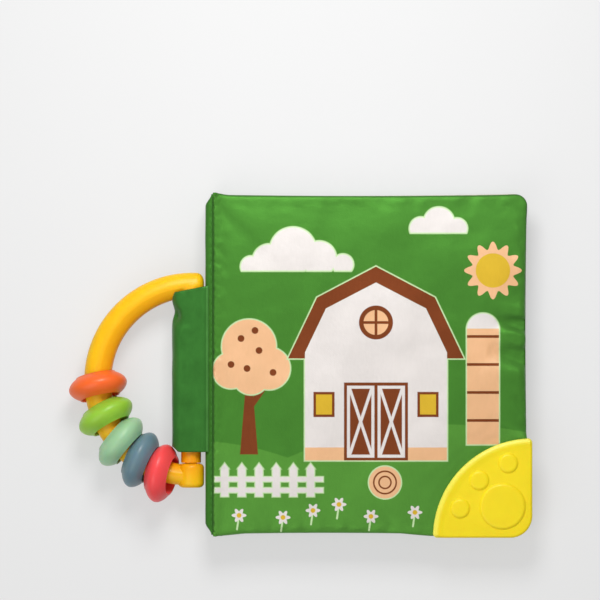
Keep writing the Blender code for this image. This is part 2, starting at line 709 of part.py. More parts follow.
def build_spine():
    spine_strip()
    low = (HEM_LEFT_X, SLEEVE_Y[0], HEM_BOTTOM_Z)
    high = (HEM_RIGHT_X, SLEEVE_Y[1] + SLEEVE_TOP_SLANT / 2, HEM_TOP_Z)
    rounded_box("sleeve_hem", low, high, HEM_EDGE_BEVEL, tab_green)


def build_ring():
    ring_hinge = new_empty("ring_hinge", RING_HINGE)
    bead_slide = new_empty("bead_slide", RING_CENTRE, ring_hinge)
    ring_arc(ring_hinge)
    ring_bar(ring_hinge)
    sleeve(ring_hinge)
    for name, *place, colour in BEADS:
        bead(name, *place, colour, bead_slide)


clear_scene()
book = new_collection("Crinkle cloth book")
cutters = new_collection("Cutters")
cover_green = new_material("cover green", (0.07, 0.27, 0.04), 0.75)
tab_green = new_material("tab green", (0.05, 0.24, 0.05), 0.75)
page_cloth = new_material("page cloth", (0.80, 0.76, 0.64), 0.85)
wadding_white = new_material("wadding", (0.85, 0.85, 0.83), 0.95)
film_clear = new_material("crinkle film", (0.80, 0.83, 0.86), 0.20)
ring_yellow = new_material("ring yellow", (0.98, 0.50, 0.01), 0.30, 0.3)
teether_yellow = new_material("teether yellow", (0.90, 0.68, 0.01), 0.40)
build_covers_and_leaves()
build_spine()
build_ring()
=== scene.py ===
"""The looks of the crinkle cloth book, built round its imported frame.

The book lies closed on its back cover: +X runs across the page away from the spine, +Y up the page and
+Z out of the front cover. Lengths are in metres unless a name says otherwise.
"""

import math

import bmesh
import bpy
import numpy as np
from mathutils import Matrix, Vector, noise
from mathutils.geometry import delaunay_2d_cdt


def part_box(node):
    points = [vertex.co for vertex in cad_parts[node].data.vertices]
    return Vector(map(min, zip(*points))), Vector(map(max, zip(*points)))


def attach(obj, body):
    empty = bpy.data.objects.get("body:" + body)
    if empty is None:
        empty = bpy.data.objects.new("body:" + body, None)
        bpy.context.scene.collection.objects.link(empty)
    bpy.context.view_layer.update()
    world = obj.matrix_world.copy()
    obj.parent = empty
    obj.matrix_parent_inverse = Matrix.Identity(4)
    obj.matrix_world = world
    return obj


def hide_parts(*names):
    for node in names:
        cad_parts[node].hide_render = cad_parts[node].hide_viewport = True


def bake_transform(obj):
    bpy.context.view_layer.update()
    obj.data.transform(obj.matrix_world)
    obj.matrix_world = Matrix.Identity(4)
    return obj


MM = 0.001

# Picture
IMAGE_PIXELS = 600
METRES_PER_PIXEL = 0.0005
VIEW_CENTRE = Vector((-0.0335, 0.03225, 0.0))
CAMERA_HEIGHT = 3.0
SENSOR_WIDTH_MM = 36.0

# Floor: what it reflects onto the book, and what the camera and mirrors see: a glow and a weaker shadow
FLOOR_COLOUR = (0.74, 0.74, 0.74)
FLOOR_SHADED = (0.32, 0.32, 0.32)
FLOOR_GLOW = 0.50
FLOOR_HALF = 3.0
FLOOR_HEIGHT = -0.0004

# Light: the world's strength, and each lamp's place, what it points at, its size and its power
WORLD_STRENGTH = 0.33
LAMPS = (
    ("key", (-0.04, 0.31, 0.41), (0.0, 0.02, 0.0), 0.20, 1.9),
    ("fill", (-0.40, -0.45, 0.8), (0.0, 0.0, 0.0), 0.8, 2.9),
)

# Tab: the band along its hem's fold where a lighter green is painted as a painted highlight, in millimetres
TAB_HEM_HIGHLIGHT = ((-80.4, -50.0), (-79.0, 45.0))

# Padded leaves
COVER_MESH_SPACING = 2.6 * MM
PAGE_MESH_SPACING = 3.6 * MM
SEAM_HALF_THICKNESS = 0.35 * MM
SIDE_DRAWN_IN = 0.6 * MM
LEAF_CORNER_RADIUS = 6.0 * MM
PILLOW_REACH = 6.0 * MM
PILLOW_POWER = 0.75
SPINE_PILLOW_REACH = 1.5 * MM
COVER_DOME = 0.24
COVER_DOME_REACH = 14.0 * MM
COVER_TOP_SLOPE = 0.58
COVER_TOP_REACH = 17.0 * MM
COVER_SPINE_REACH = 0.27 * MM
COVER_SEAM_LIFT = 1.9 * MM
COVER_LIFT_REACH = 2.6 * MM
SIMULATION_SCALE = 10.0
START_FLATTENED = (1.0, 1.0, 0.75)
SIMULATION_FRAMES = 20
FILLING_PRESSURE = 4.0
MOST_MOVE = 1.1 * MM
# The cover's filling at the teether: how much is left, how far out it starts to grow, and over what reach
GRIPPED_FILLING = 0.22
GRIPPED_GAP = 0.6 * MM
GRIPPED_REACH = 13.0 * MM
# How far the cover's cut edge stays out from the line of the teether's grip
BITE_GAP = 0.5 * MM
# The mesh: the height of a row of equal triangles, and how close its points come to each other along
# the seam and to the seam, all as shares of its spacing; then the size of the puckers at the spine,
# and how near to the seam a point counts as on it
ROW_STEP = 0.866
CLOSEST_ON_SEAM = 0.45
CLOSEST_TO_SEAM = 0.6
PUCKER_SIZE_MM = 2.6
ON_SEAM = 0.1 * MM

# Teether
TEETHER_CORNER = Vector((82.75, -86.75, 0.0)) * MM
TEETHER_RADIUS = 49.8 * MM
TEETHER_CORNER_RADIUS = 11.0 * MM
TEETHER_TIP_RADIUS = 2.2 * MM
TEETHER_GRIP = 5.5 * MM
TEETHER_SLOT_HALF = 1.3 * MM
TEETHER_SLOT_HEIGHT = 3.0 * MM
TEETHER_SLOT_GAP = 0.3 * MM
TEETHER_SLOT_ANGLES = (60.0, 210.0)
TEETHER_SOFT_ANGLE = 35.0
TEETHER_FACE_HEIGHT = 5.4 * MM
TEETHER_EDGE = 1.3 * MM
TEETHER_RIM_ANGLES = (91.4, 178.6)
# The rim's section: how far in from the arc, and how far above the face, in millimetres
TEETHER_RIM = (
    (0.20, -1.5), (0.22, -1.0), (0.42, -0.55), (0.75, -0.18), (1.20, 0.10), (1.70, 0.26), (2.25, 0.32),
    (2.90, 0.28), (3.60, 0.19), (4.40, 0.09), (5.20, 0.01), (6.00, -0.05), (6.00, -1.5),
)
TEETHER_PADS = ((-12.1, 37.3, 5.0), (-26.6, 28.7, 5.0), (-36.2, 14.7, 5.0), (-14.9, 15.7, 11.6))
# A pad's section: how far beyond its radius, and how far above the face, in millimetres
TEETHER_PAD_PROFILE = ((0.15, -1.0), (0.15, -0.02), (-0.15, 0.20), (-0.45, 0.52), (-0.8, 0.76),
                       (-1.2, 0.88), (-1.7, 0.9))

# Ring handle
RING_CENTRE = Vector((-87.5, -8.25, 14.75)) * MM
RING_RADIUS = 47.35 * MM
RING_UPPER_SCALE = 0.90
RING_LOWER_SCALE = 0.72
RING_TIP_LENGTH = 5.9 * MM
RING_TIP_ROUND = 4.0 * MM
RING_TIP_STEPS = 9
# The tip's outermost section lies at this share of a quarter turn, and this power rounds the tip
RING_TIP_TURN = 0.92
RING_TIP_POWER = 0.7
RING_STEPS = 84
# The space cut in the tab for the ring: coarser, a little larger, and only its upper end
CUT_STEPS = 60
CUT_SECTIONS = 34
CUT_GAP = 0.35 * MM
RING_SECTION = ((6.85, 0.0), (6.2, 3.3), (4.2, 5.5), (1.6, 6.6), (-0.7, 6.75), (-2.2, 6.1), (-4.2, 4.7),
                (-6.05, 2.7), (-6.85, 0.0))
BOSS_X = -88.1 * MM
BOSS_RADIUS = 6.5 * MM
UPPER_BOSS_Y = (32.9 * MM, 42.0 * MM)
LOWER_BOSS_Y = (-61.75 * MM, -49.6 * MM)
SPIGOT_RADIUS = 3.0 * MM
SPIGOT_LENGTH = 4.8 * MM
BAR_RADIUS = 5.0 * MM
BAR_GAP = 0.3 * MM
BOSS_EDGE = 2.4 * MM
SOCKET_EDGE = 0.1 * MM
BAR_EDGE = 0.4 * MM
SPIGOT_EDGE = 0.3 * MM
SOFT_ANGLE = 50.0
MOULD_LINE_HEIGHT = 0.16 * MM
MOULD_LINE_TURN = math.radians(66.0)
MOULD_LINE_WIDTH = 0.07

# Beads: name, degrees round the ring from -X towards -Y, how far outwards and upwards of the ring's
# centre line in millimetres, tilt and lean
BEAD_RADIUS = 14.75 * MM
BEAD_HALF_THICKNESS = 5.8 * MM
BEAD_HOLE_RADIUS = 9.2 * MM
BEAD_FULLNESS = 1.9
BEAD_LIP = 0.8 * MM
BEAD_SEGMENTS = 72
BEADS = (
    ("bead_orange", 3.3, 0.0, 0.0, 12.1, 9.3),
    ("bead_lime", 22.3, -0.5, -0.2, 29.4, 10.2),
    ("bead_mint", 40.4, -0.3, 0.1, 49.9, 5.5),
    ("bead_blue", 56.8, 0.0, -0.2, 65.4, 10.5),
    ("bead_coral", 71.6, 1.5, 1.2, 77.6, 14.6),
)


def smooth_step(value, low, high):
    """0 below low, 1 above high, and a smooth rise between them."""
    share = min(1.0, max(0.0, (value - low) / (high - low)))
    return share * share * (3 - 2 * share)


def bump(value, middle, width):
    """A smooth hill of height 1."""
    return math.exp(-((value - middle) / width) ** 2)


# How deep light goes into moulded plastic, and how far its red, green and blue spread
SCATTER_DEPTH = 4.0 * MM
SCATTER_REACH = (1.0, 0.4, 0.15)


class Paint:
    """A material's node tree, with short calls for the sums that its patterns are made of.

    Distances are in millimetres of the book's own coordinates, negative inside a shape.
    """

    def __init__(self, name, colour, roughness, sheen=0.0, coat=0.0, subsurface=0.0, specular=0.5):
        self.material = bpy.data.materials.new(name)
        self.material.use_nodes = True
        self.tree = self.material.node_tree
        self.shader = self.tree.nodes["Principled BSDF"]
        settings = {
            "Roughness": roughness, "Specular IOR Level": specular, "Sheen Weight": sheen,
            "Coat Weight": coat, "Subsurface Weight": subsurface,
            "Subsurface Scale": SCATTER_DEPTH, "Subsurface Radius": SCATTER_REACH,
        }
        for label, value in settings.items():
            self.shader.inputs[label].default_value = value
        place = self.tree.nodes.new("ShaderNodeTexCoord").outputs["Object"]
        self.place = self.vector("SCALE", place, scale=1 / MM)
        self.flat = self.vector("MULTIPLY_ADD", self.place, (1.0, 1.0, 0.0), (0.0, 0.0, 1.0))
        self.colour = colour
        self.height = None

    def feed(self, socket, value):
        """Links a socket to another, or gives it a fixed value."""
        if isinstance(value, bpy.types.NodeSocket):
            self.tree.links.new(value, socket)
        else:
            socket.default_value = value

    def sum(self, operation, *values, clamp=False):
        node = self.tree.nodes.new("ShaderNodeMath")
        node.operation = operation
        node.use_clamp = clamp
        for socket, value in zip(node.inputs, values):
            self.feed(socket, value)
        return node.outputs[0]

    def vector(self, operation, *values, scale=None):
        node = self.tree.nodes.new("ShaderNodeVectorMath")
        node.operation = operation
        for socket, value in zip(node.inputs, values):
            self.feed(socket, value)
        if scale is not None:
            self.feed(node.inputs["Scale"], scale)
        single = operation in ("LENGTH", "DISTANCE", "DOT_PRODUCT")
        return node.outputs["Value" if single else "Vector"]

    def split(self, vector):
        """A vector's three parts."""
        node = self.tree.nodes.new("ShaderNodeSeparateXYZ")
        self.feed(node.inputs[0], vector)
        return node.outputs

    def axis(self, index):
        return self.split(self.place)[index]

    def disc(self, x, y, radius):
        return self.sum("SUBTRACT", self.vector("DISTANCE", self.flat, (x, y, 1.0)), radius)

    def oval(self, x, y, half_x, half_y):
        off = self.vector("SUBTRACT", self.flat, (x, y, 1.0))
        scaled = self.vector("MULTIPLY", off, (1 / half_x, 1 / half_y, 0.0))
        reach = self.sum("SUBTRACT", self.vector("LENGTH", scaled), 1.0)
        return self.sum("MULTIPLY", reach, min(half_x, half_y))

    def box(self, low, high):
        """An upright rectangle between two corners."""
        middle = ((low[0] + high[0]) / 2, (low[1] + high[1]) / 2, 1.0)
        half = ((high[0] - low[0]) / 2, (high[1] - low[1]) / 2, 1.0)
        off = self.vector("ABSOLUTE", self.vector("SUBTRACT", self.flat, middle))
        past = self.split(self.vector("SUBTRACT", off, half))
        return self.sum("MAXIMUM", past[0], past[1])

    def polygon(self, points):
        """A convex shape, its corners given anticlockwise."""
        distance = None
        for start, end in zip(points, points[1:] + points[:1]):
            along = Vector((end[0] - start[0], end[1] - start[1])).normalized()
            normal = (along.y, -along.x)
            reach = normal[0] * start[0] + normal[1] * start[1]
            side = self.vector("DOT_PRODUCT", self.flat, (normal[0], normal[1], -reach))
            distance = side if distance is None else self.sum("MAXIMUM", distance, side)
        return distance

    def stroke(self, start, end, half_width):
        """A straight line with round ends."""
        run = (end[0] - start[0], end[1] - start[1], 0.0)
        off = self.vector("SUBTRACT", self.flat, (start[0], start[1], 1.0))
        length = run[0] ** 2 + run[1] ** 2
        share = self.sum("DIVIDE", self.vector("DOT_PRODUCT", off, run), length, clamp=True)
        near = self.vector("SCALE", run, scale=share)
        return self.sum("SUBTRACT", self.vector("DISTANCE", off, near), half_width)

    def blossom(self, x, y, radius, petals, depth):
        """A round shape with lobes."""
        shifted = self.vector("SUBTRACT", self.flat, (x, y, 1.0))
        off = self.split(shifted)
        angle = self.sum("ARCTAN2", off[1], off[0])
        wave = self.sum("COSINE", self.sum("MULTIPLY", angle, petals))
        edge = self.sum("MULTIPLY_ADD", wave, depth, radius)
        return self.sum("SUBTRACT", self.vector("LENGTH", shifted), edge)

    def join(self, *distances):
        joined = distances[0]
        for distance in distances[1:]:
            joined = self.sum("MINIMUM", joined, distance)
        return joined

    def discs(self, *rows):
        """Round shapes as one, each given by x, y and radius."""
        return self.join(*(self.disc(*row) for row in rows))

    def boxes(self, *rows):
        """Upright rectangles as one, each given by two corners."""
        return self.join(*(self.box(*row) for row in rows))

    def cut(self, distance, other):
        return self.sum("MAXIMUM", distance, self.sum("MULTIPLY", other, -1.0))

    def mix(self, share, first, second, mode="MIX"):
        node = self.tree.nodes.new("ShaderNodeMix")
        node.data_type = "RGBA"
        node.blend_type = mode
        self.feed(node.inputs["Factor"], share)
        for socket, value in zip((node.inputs[6], node.inputs[7]), (first, second)):
            self.feed(socket, (*value, 1.0) if isinstance(value, tuple) and len(value) == 3 else value)
        return node.outputs[2]

    def print(self, colour, distance, grow=0.0, edge=0.25):
        """Prints a shape in one colour over what is there."""
        share = self.sum("MULTIPLY_ADD", distance, -1 / edge, 0.5 + grow / edge, clamp=True)
        self.colour = self.mix(share, self.colour, colour)

    def print_rimmed(self, colour, distance, rim=0.6):
        """Prints a shape with a pale rim round it."""
        self.print(PALE_GREEN, distance, grow=rim, edge=RIM_SOFTNESS)
        self.print(colour, distance)

    def noise(self, size_mm, detail=2.0, roughness=0.5, stretch=(1.0, 1.0, 1.0)):
        node = self.tree.nodes.new("ShaderNodeTexNoise")
        place = self.vector("MULTIPLY", self.place, tuple(s / size_mm for s in stretch))
        self.feed(node.inputs["Vector"], place)
        node.inputs["Scale"].default_value = 1.0
        node.inputs["Detail"].default_value = detail
        node.inputs["Roughness"].default_value = roughness
        return node.outputs["Fac"]

    def vary(self, share, amount):
        """Makes the colour a little darker and lighter with a pattern from 0 to 1."""
        low, high = 1.0 - amount, 1.0 + amount
        level = self.sum("MULTIPLY_ADD", share, high - low, low)
        grey = self.tree.nodes.new("ShaderNodeCombineColor")
        for socket in grey.inputs:
            if socket.name in ("Red", "Green", "Blue"):
                self.feed(socket, level)
        self.colour = self.mix(1.0, self.colour, grey.outputs[0], "MULTIPLY")

    def raise_by(self, pattern, height_mm):
        """Adds a pattern from 0 to 1 to the surface's relief."""
        part = self.sum("MULTIPLY", pattern, height_mm * MM)
        self.height = part if self.height is None else self.sum("ADD", self.height, part)

    def weave(self, pitch_mm, height_mm):
        """Plain weave: threads that pass over and under each other, on the three box sides."""
        waves = []
        for index in range(3):
            waves.append(self.sum("SINE", self.sum("MULTIPLY", self.axis(index), math.pi / pitch_mm)))
        crossed = self.sum("MULTIPLY", waves[0], waves[1])
        edge = self.sum("MULTIPLY", waves[2], 0.35)
        pattern = self.sum("MULTIPLY_ADD", self.sum("ADD", crossed, edge), 0.5, 0.5)
        self.raise_by(pattern, height_mm)
        return pattern

    def finish(self, roughness_pattern=None, roughness_range=(0.5, 0.6)):
        if roughness_pattern is not None:
            low, high = roughness_range
            level = self.sum("MULTIPLY_ADD", roughness_pattern, high - low, low)
            self.feed(self.shader.inputs["Roughness"], level)
        self.feed(self.shader.inputs["Base Color"],
                  self.colour if not isinstance(self.colour, tuple) else (*self.colour, 1.0))
        if self.height is not None:
            node = self.tree.nodes.new("ShaderNodeBump")
            node.inputs["Distance"].default_value = 1.0
            node.inputs["Strength"].default_value = 1.0
            self.feed(node.inputs["Height"], self.height)
            self.feed(self.shader.inputs["Normal"], node.outputs[0])
        return self.material


# Colours, linear
GREEN = (0.052, 0.180, 0.025)
# painted shade: a darker copy of the cover's green, for the spine fold
SHADED_SPINE_GREEN = (0.036, 0.135, 0.018)
TAB_GREEN = (0.032, 0.135, 0.023)
# painted highlight: a lighter green for the band along the tab's hem
TAB_HIGHLIGHT_GREEN = (0.060, 0.20, 0.042)
HILL_GREEN = (0.080, 0.245, 0.036)
PALE_GREEN = (0.52, 0.74, 0.36)
PRINT_WHITE = (0.74, 0.69, 0.66)
BROWN = (0.165, 0.042, 0.014)
PEACH = (0.82, 0.45, 0.22)
GOLD = (0.66, 0.40, 0.03)
PINK = (0.80, 0.42, 0.38)
CREAM = (0.80, 0.76, 0.64)
SKY = (0.42, 0.66, 0.74)
ORANGE = (0.87, 0.22, 0.05)

# How soft the printed rims are, in millimetres
RIM_SOFTNESS = 0.5

# The cloth's shine has the cloth's colour, made brighter
CLOTH_SPECULAR = 1.0
SATIN_TINT = 4.0


def cloth_finish(paint):
    """Woven polyester: fine threads, faint slubs and a soft crinkle from the film below."""
    threads = paint.weave(pitch_mm=0.42, height_mm=0.035)
    slubs = paint.noise(0.9, detail=3.0, stretch=(1.0, 0.25, 1.0))
    clouds = paint.noise(17.0, detail=3.0)
    crinkle = paint.noise(6.5, detail=4.0, roughness=0.6)
    paint.raise_by(slubs, height_mm=0.03)
    paint.raise_by(crinkle, height_mm=0.22)
    for pattern, amount in ((threads, 0.05), (slubs, 0.05), (clouds, 0.07)):
        paint.vary(pattern, amount)
    shine = paint.vector("MINIMUM", paint.vector("SCALE", paint.colour, scale=SATIN_TINT), (1.0, 1.0, 1.0))
    paint.feed(paint.shader.inputs["Specular Tint"], shine)
    return paint.finish(slubs, (0.35, 0.46))


def farm_print(paint):
    """A generic farmyard for the cover: barn, silo, tree, clouds, sun, fence and flowers."""
    paint.print(HILL_GREEN, paint.discs((40.0, -230.0, 200.0), (-90.0, -190.0, 152.0)), edge=RIM_SOFTNESS)

    cloud = paint.discs((-49.0, 52.0, 8.0), (-37.0, 57.0, 11.5), (-24.0, 53.0, 8.5), (-12.0, 50.0, 5.0),
                        (-58.0, 49.0, 5.0))
    cloud = paint.cut(cloud, paint.box((-80.0, 20.0), (10.0, 47.0)))
    small_cloud = paint.discs((27.0, 68.0, 5.5), (36.0, 71.0, 7.5), (45.0, 68.0, 5.0))
    small_cloud = paint.cut(small_cloud, paint.box((10.0, 50.0), (60.0, 66.0)))
    sun = (63.0, 47.0)
    paint.print(PEACH, paint.blossom(*sun, 12.5, 12.0, 1.9))
    paint.print(GOLD, paint.disc(*sun, 8.6))
    paint.print_rimmed(PRINT_WHITE, paint.join(cloud, small_cloud), rim=0.7)

    trunk = paint.polygon([(-63.5, -45.0), (-54.5, -45.0), (-57.2, -12.0), (-60.8, -12.0)])
    branch = paint.stroke((-59.0, -22.0), (-50.5, -10.0), 1.5)
    paint.print(BROWN, paint.join(trunk, branch))
    crown = paint.discs((-59.0, 9.0, 13.5), (-68.0, -3.0, 9.0), (-49.0, -2.0, 10.5), (-58.0, -6.0, 9.0))
    paint.print_rimmed(PEACH, crown)
    fruit = ((-63.0, 13.0), (-54.0, 7.0), (-68.0, 0.0), (-60.0, -2.0), (-47.0, -4.0), (-56.0, 17.0))
    paint.print(BROWN, paint.discs(*((x, y, 1.7) for x, y in fruit)))

    tower = paint.box((50.0, -40.0), (66.0, 18.0))
    dome = paint.cut(paint.disc(58.0, 17.5, 8.0), paint.box((40.0, -20.0), (80.0, 18.0)))
    paint.print(PALE_GREEN, paint.join(tower, dome), grow=0.6, edge=RIM_SOFTNESS)
    paint.print(PEACH, tower)
    paint.print(PRINT_WHITE, dome)
    hoops = (((50.0, y - 0.7), (66.0, y + 0.7)) for y in (-28.0, -14.0, 0.0, 14.0))
    paint.print(BROWN, paint.boxes(*hoops))

    walls = paint.box((-31.0, -48.0), (40.0, 6.0))
    gable = paint.polygon([
        (-31.0, -20.0), (40.0, -20.0), (40.0, 6.0), (29.5, 28.0), (4.5, 41.0), (-20.5, 28.0), (-31.0, 6.0)])
    front = paint.join(walls, gable)
    roof = paint.polygon([(-39.5, 3.0), (48.5, 3.0), (34.0, 33.5), (4.5, 49.0), (-25.0, 33.5)])
    eaves = paint.cut(roof, gable)
    paint.print(PALE_GREEN, paint.join(walls, roof), grow=0.6, edge=RIM_SOFTNESS)
    paint.print(BROWN, eaves)
    paint.print(PRINT_WHITE, front)
    paint.print(PEACH, paint.box((-31.0, -48.0), (40.0, -41.5)))
    paint.print(BROWN, paint.disc(4.5, 21.0, 8.5))
    paint.print(PEACH, paint.disc(4.5, 21.0, 6.2))
    paint.print(BROWN, paint.boxes(((3.8, 14.0), (5.2, 28.0)), ((-2.5, 20.3), (11.5, 21.7))))
    paint.print(BROWN, paint.box((-11.5, -48.0), (20.5, -9.0)))
    lines = []
    for left in (-10.0, 5.3):
        right = left + 13.7
        outer = paint.box((left, -46.6), (right, -10.6))
        lines.append(paint.cut(outer, paint.box((left + 1.5, -45.1), (right - 1.5, -12.1))))
        lines.append(paint.stroke((left + 1.2, -45.6), (right - 1.2, -11.6), 0.75))
        lines.append(paint.stroke((left + 1.2, -11.6), (right - 1.2, -45.6), 0.75))
    paint.print(PRINT_WHITE, paint.join(*lines))
    panes = paint.boxes(((-25.5, -25.0), (-17.5, -15.0)), ((26.5, -25.0), (34.5, -15.0)))
    paint.print(BROWN, panes, grow=1.3)
    paint.print(GOLD, panes)

    posts = []
    top = -52.0
    for index in range(6):
        left = -73.0 + 8.6 * index
        posts.append(paint.box((left, -66.0), (left + 3.6, top)))
        posts.append(paint.polygon([(left, top), (left + 3.6, top), (left + 1.8, top + 2.4)]))
    rails = paint.boxes(((-76.0, -58.5), (-22.0, -56.3)), ((-76.0, -64.0), (-22.0, -61.8)))
    paint.print_rimmed(PRINT_WHITE, paint.join(rails, *posts), rim=0.5)

    bale = (9.0, -59.0)
    paint.print(PALE_GREEN, paint.disc(*bale, 8.6))
    paint.print(PEACH, paint.disc(*bale, 8.0))
    for radius in (6.0, 3.4):
        paint.print(BROWN, paint.cut(paint.disc(*bale, radius), paint.disc(*bale, radius - 0.8)))
    for x, y in ((-64.0, -75.5), (-42.0, -76.5), (-14.0, -70.0), (-27.0, -73.0), (24.0, -74.0), (2.0, -76.0)):
        paint.print(PALE_GREEN, paint.stroke((x, y), (x - 1.0, y - 7.0), 0.45))
        paint.print(PRINT_WHITE, paint.blossom(x, y, 2.9, 6.0, 0.8))
        paint.print(GOLD, paint.disc(x, y, 1.2))


def meadow_print(paint):
    """A generic page: rolling hills, a low sun, a pond and flowers."""
    paint.print(SKY, paint.box((-90.0, -5.0), (90.0, 90.0)), edge=0.4)
    paint.print(GOLD, paint.disc(30.0, 22.0, 19.0))
    for x, y, size in ((-40.0, 50.0, 1.0), (45.0, 62.0, 0.8)):
        cloud = paint.discs((x - 11.0 * size, y, 7.0 * size), (x, y + 4.0 * size, 10.0 * size),
                            (x + 12.0 * size, y, 7.5 * size))
        paint.print(PRINT_WHITE, cloud)
    paint.print(HILL_GREEN, paint.disc(-50.0, -130.0, 140.0))
    paint.print(GREEN, paint.disc(60.0, -190.0, 175.0))
    paint.print(SKY, paint.oval(-20.0, -70.0, 34.0, 12.0))
    for x, y in ((-60.0, -40.0), (-45.0, -28.0), (20.0, -45.0), (48.0, -36.0), (60.0, -60.0), (5.0, -30.0)):
        paint.print(PRINT_WHITE, paint.blossom(x, y, 4.2, 5.0, 1.2))
        paint.print(ORANGE, paint.disc(x, y, 1.7))


def dots_print(paint, first, second):
    """A generic page: two sizes of dots in staggered rows."""
    for row in range(-2, 3):
        for column in range(-2, 3):
            x = 31.0 * column + (15.5 if row % 2 else 0.0)
            colour = first if (row + column) % 2 else second
            paint.print(colour, paint.disc(x, 33.0 * row, 9.0 if colour is first else 6.0))


def stripes_print(paint, colours):
    """A generic page: broad wavy bands."""
    wave = paint.sum("SINE", paint.sum("MULTIPLY", paint.axis(0), 0.11))
    level = paint.sum("MULTIPLY_ADD", wave, 4.0, paint.axis(1))
    for index, colour in enumerate(colours):
        middle = -66.0 + 33.0 * index
        past = paint.sum("ABSOLUTE", paint.sum("SUBTRACT", level, middle))
        paint.print(colour, paint.sum("SUBTRACT", past, 8.5))


def cloth_paint(name, colour):
    """Paint for cloth: a little fuzz and a strong shine."""
    return Paint(name, colour, 0.5, sheen=0.06, specular=CLOTH_SPECULAR)


def printed_cloth(name, colour, draw, *arguments):
    """Cloth with a picture that the draw function prints on it."""
    paint = cloth_paint(name, colour)
    draw(paint, *arguments)
    return cloth_finish(paint)


def plain_cloth(name, colour):
    """Cloth in one colour."""
    return cloth_finish(cloth_paint(name, colour))


def moulded_plastic(name, colour, roughness=0.36, coat=0.06, subsurface=0.3, specular=0.4, inside=None):
    """Moulded plastic: a smooth skin with faint flow clouds, fine grain and small handling marks.

    inside gives a second colour within a circle: the colour, its middle, its radius and how soft it is.
    """
    paint = Paint(name, colour, roughness, coat=coat, subsurface=subsurface, specular=specular)
    if inside:
        second, middle, radius, softness = inside
        circle = paint.disc(middle.x / MM, middle.y / MM, radius / MM)
        paint.print(second, circle, edge=softness / MM)
    paint.shader.inputs["Coat Roughness"].default_value = 0.22
    flow = paint.noise(9.0, detail=2.0)
    grain = paint.noise(0.5, detail=2.0)
    marks = paint.noise(2.4, detail=5.0, roughness=0.7, stretch=(1.0, 0.3, 1.0))
    paint.raise_by(grain, 0.008)
    paint.raise_by(flow, 0.05)
    paint.vary(flow, 0.05)
    return paint.finish(marks, (roughness - 0.05, roughness + 0.12))


def new_object(name, mesh, *materials):
    """A mesh as an object in the scene, with its materials in order."""
    obj = bpy.data.objects.new(name, mesh)
    bpy.context.scene.collection.objects.link(obj)
    for material in materials:
        mesh.materials.append(material)
    return obj


def loft(name, loops, material=None, around=True, closed=False):
    """A surface through loops of points. closed joins the last loop to the first."""
    bm = bmesh.new()
    rows = [[bm.verts.new(point) for point in loop] for loop in loops]
    count = len(rows[0])
    pairs = list(zip(rows, rows[1:]))
    if closed:
        pairs.append((rows[-1], rows[0]))
    for first, second in pairs:
        for index in range(count if around else count - 1):
            following = (index + 1) % count
            bm.faces.new((first[index], first[following], second[following], second[index]))
    if around and not closed:
        bm.faces.new(reversed(rows[0]))
        bm.faces.new(rows[-1])
    bmesh.ops.recalc_face_normals(bm, faces=bm.faces)
    mesh = bpy.data.meshes.new(name)
    bm.to_mesh(mesh)
    bm.free()
    obj = new_object(name, mesh, *([material] if material else []))
    mesh.shade_smooth()
    return obj


def apply_modifiers(obj):
    """Makes the modifiers' result the object's own mesh."""
    graph = bpy.context.evaluated_depsgraph_get()
    mesh = bpy.data.meshes.new_from_object(obj.evaluated_get(graph))
    obj.modifiers.clear()
    obj.data = mesh


def combine(obj, cutter, operation):
    """A boolean whose cutter is used up."""
    modifier = obj.modifiers.new(operation.lower(), "BOOLEAN")
    modifier.operation = operation
    modifier.solver = "EXACT"
    modifier.object = cutter
    apply_modifiers(obj)
    bpy.data.objects.remove(cutter)


def thicken(obj, thickness):
    """Gives a sheet its thickness, half on each side."""
    modifier = obj.modifiers.new("cloth", "SOLIDIFY")
    modifier.thickness = thickness
    modifier.offset = 0.0
    apply_modifiers(obj)
    obj.data.shade_smooth()


def soften_edges(obj, degrees):
    """Smooth shading, except at edges sharper than so many degrees."""
    obj.data.shade_smooth()
    obj.data.set_sharp_from_angle(angle=math.radians(degrees))


def arc_points(centre, radius, first, last, steps):
    """Points along an arc, from its first to its last angle in degrees."""
    points = []
    for step in range(steps + 1):
        angle = math.radians(first + (last - first) * step / steps)
        x = centre[0] + radius * math.cos(angle)
        y = centre[1] + radius * math.sin(angle)
        points.append(Vector((x, y)))
    return points


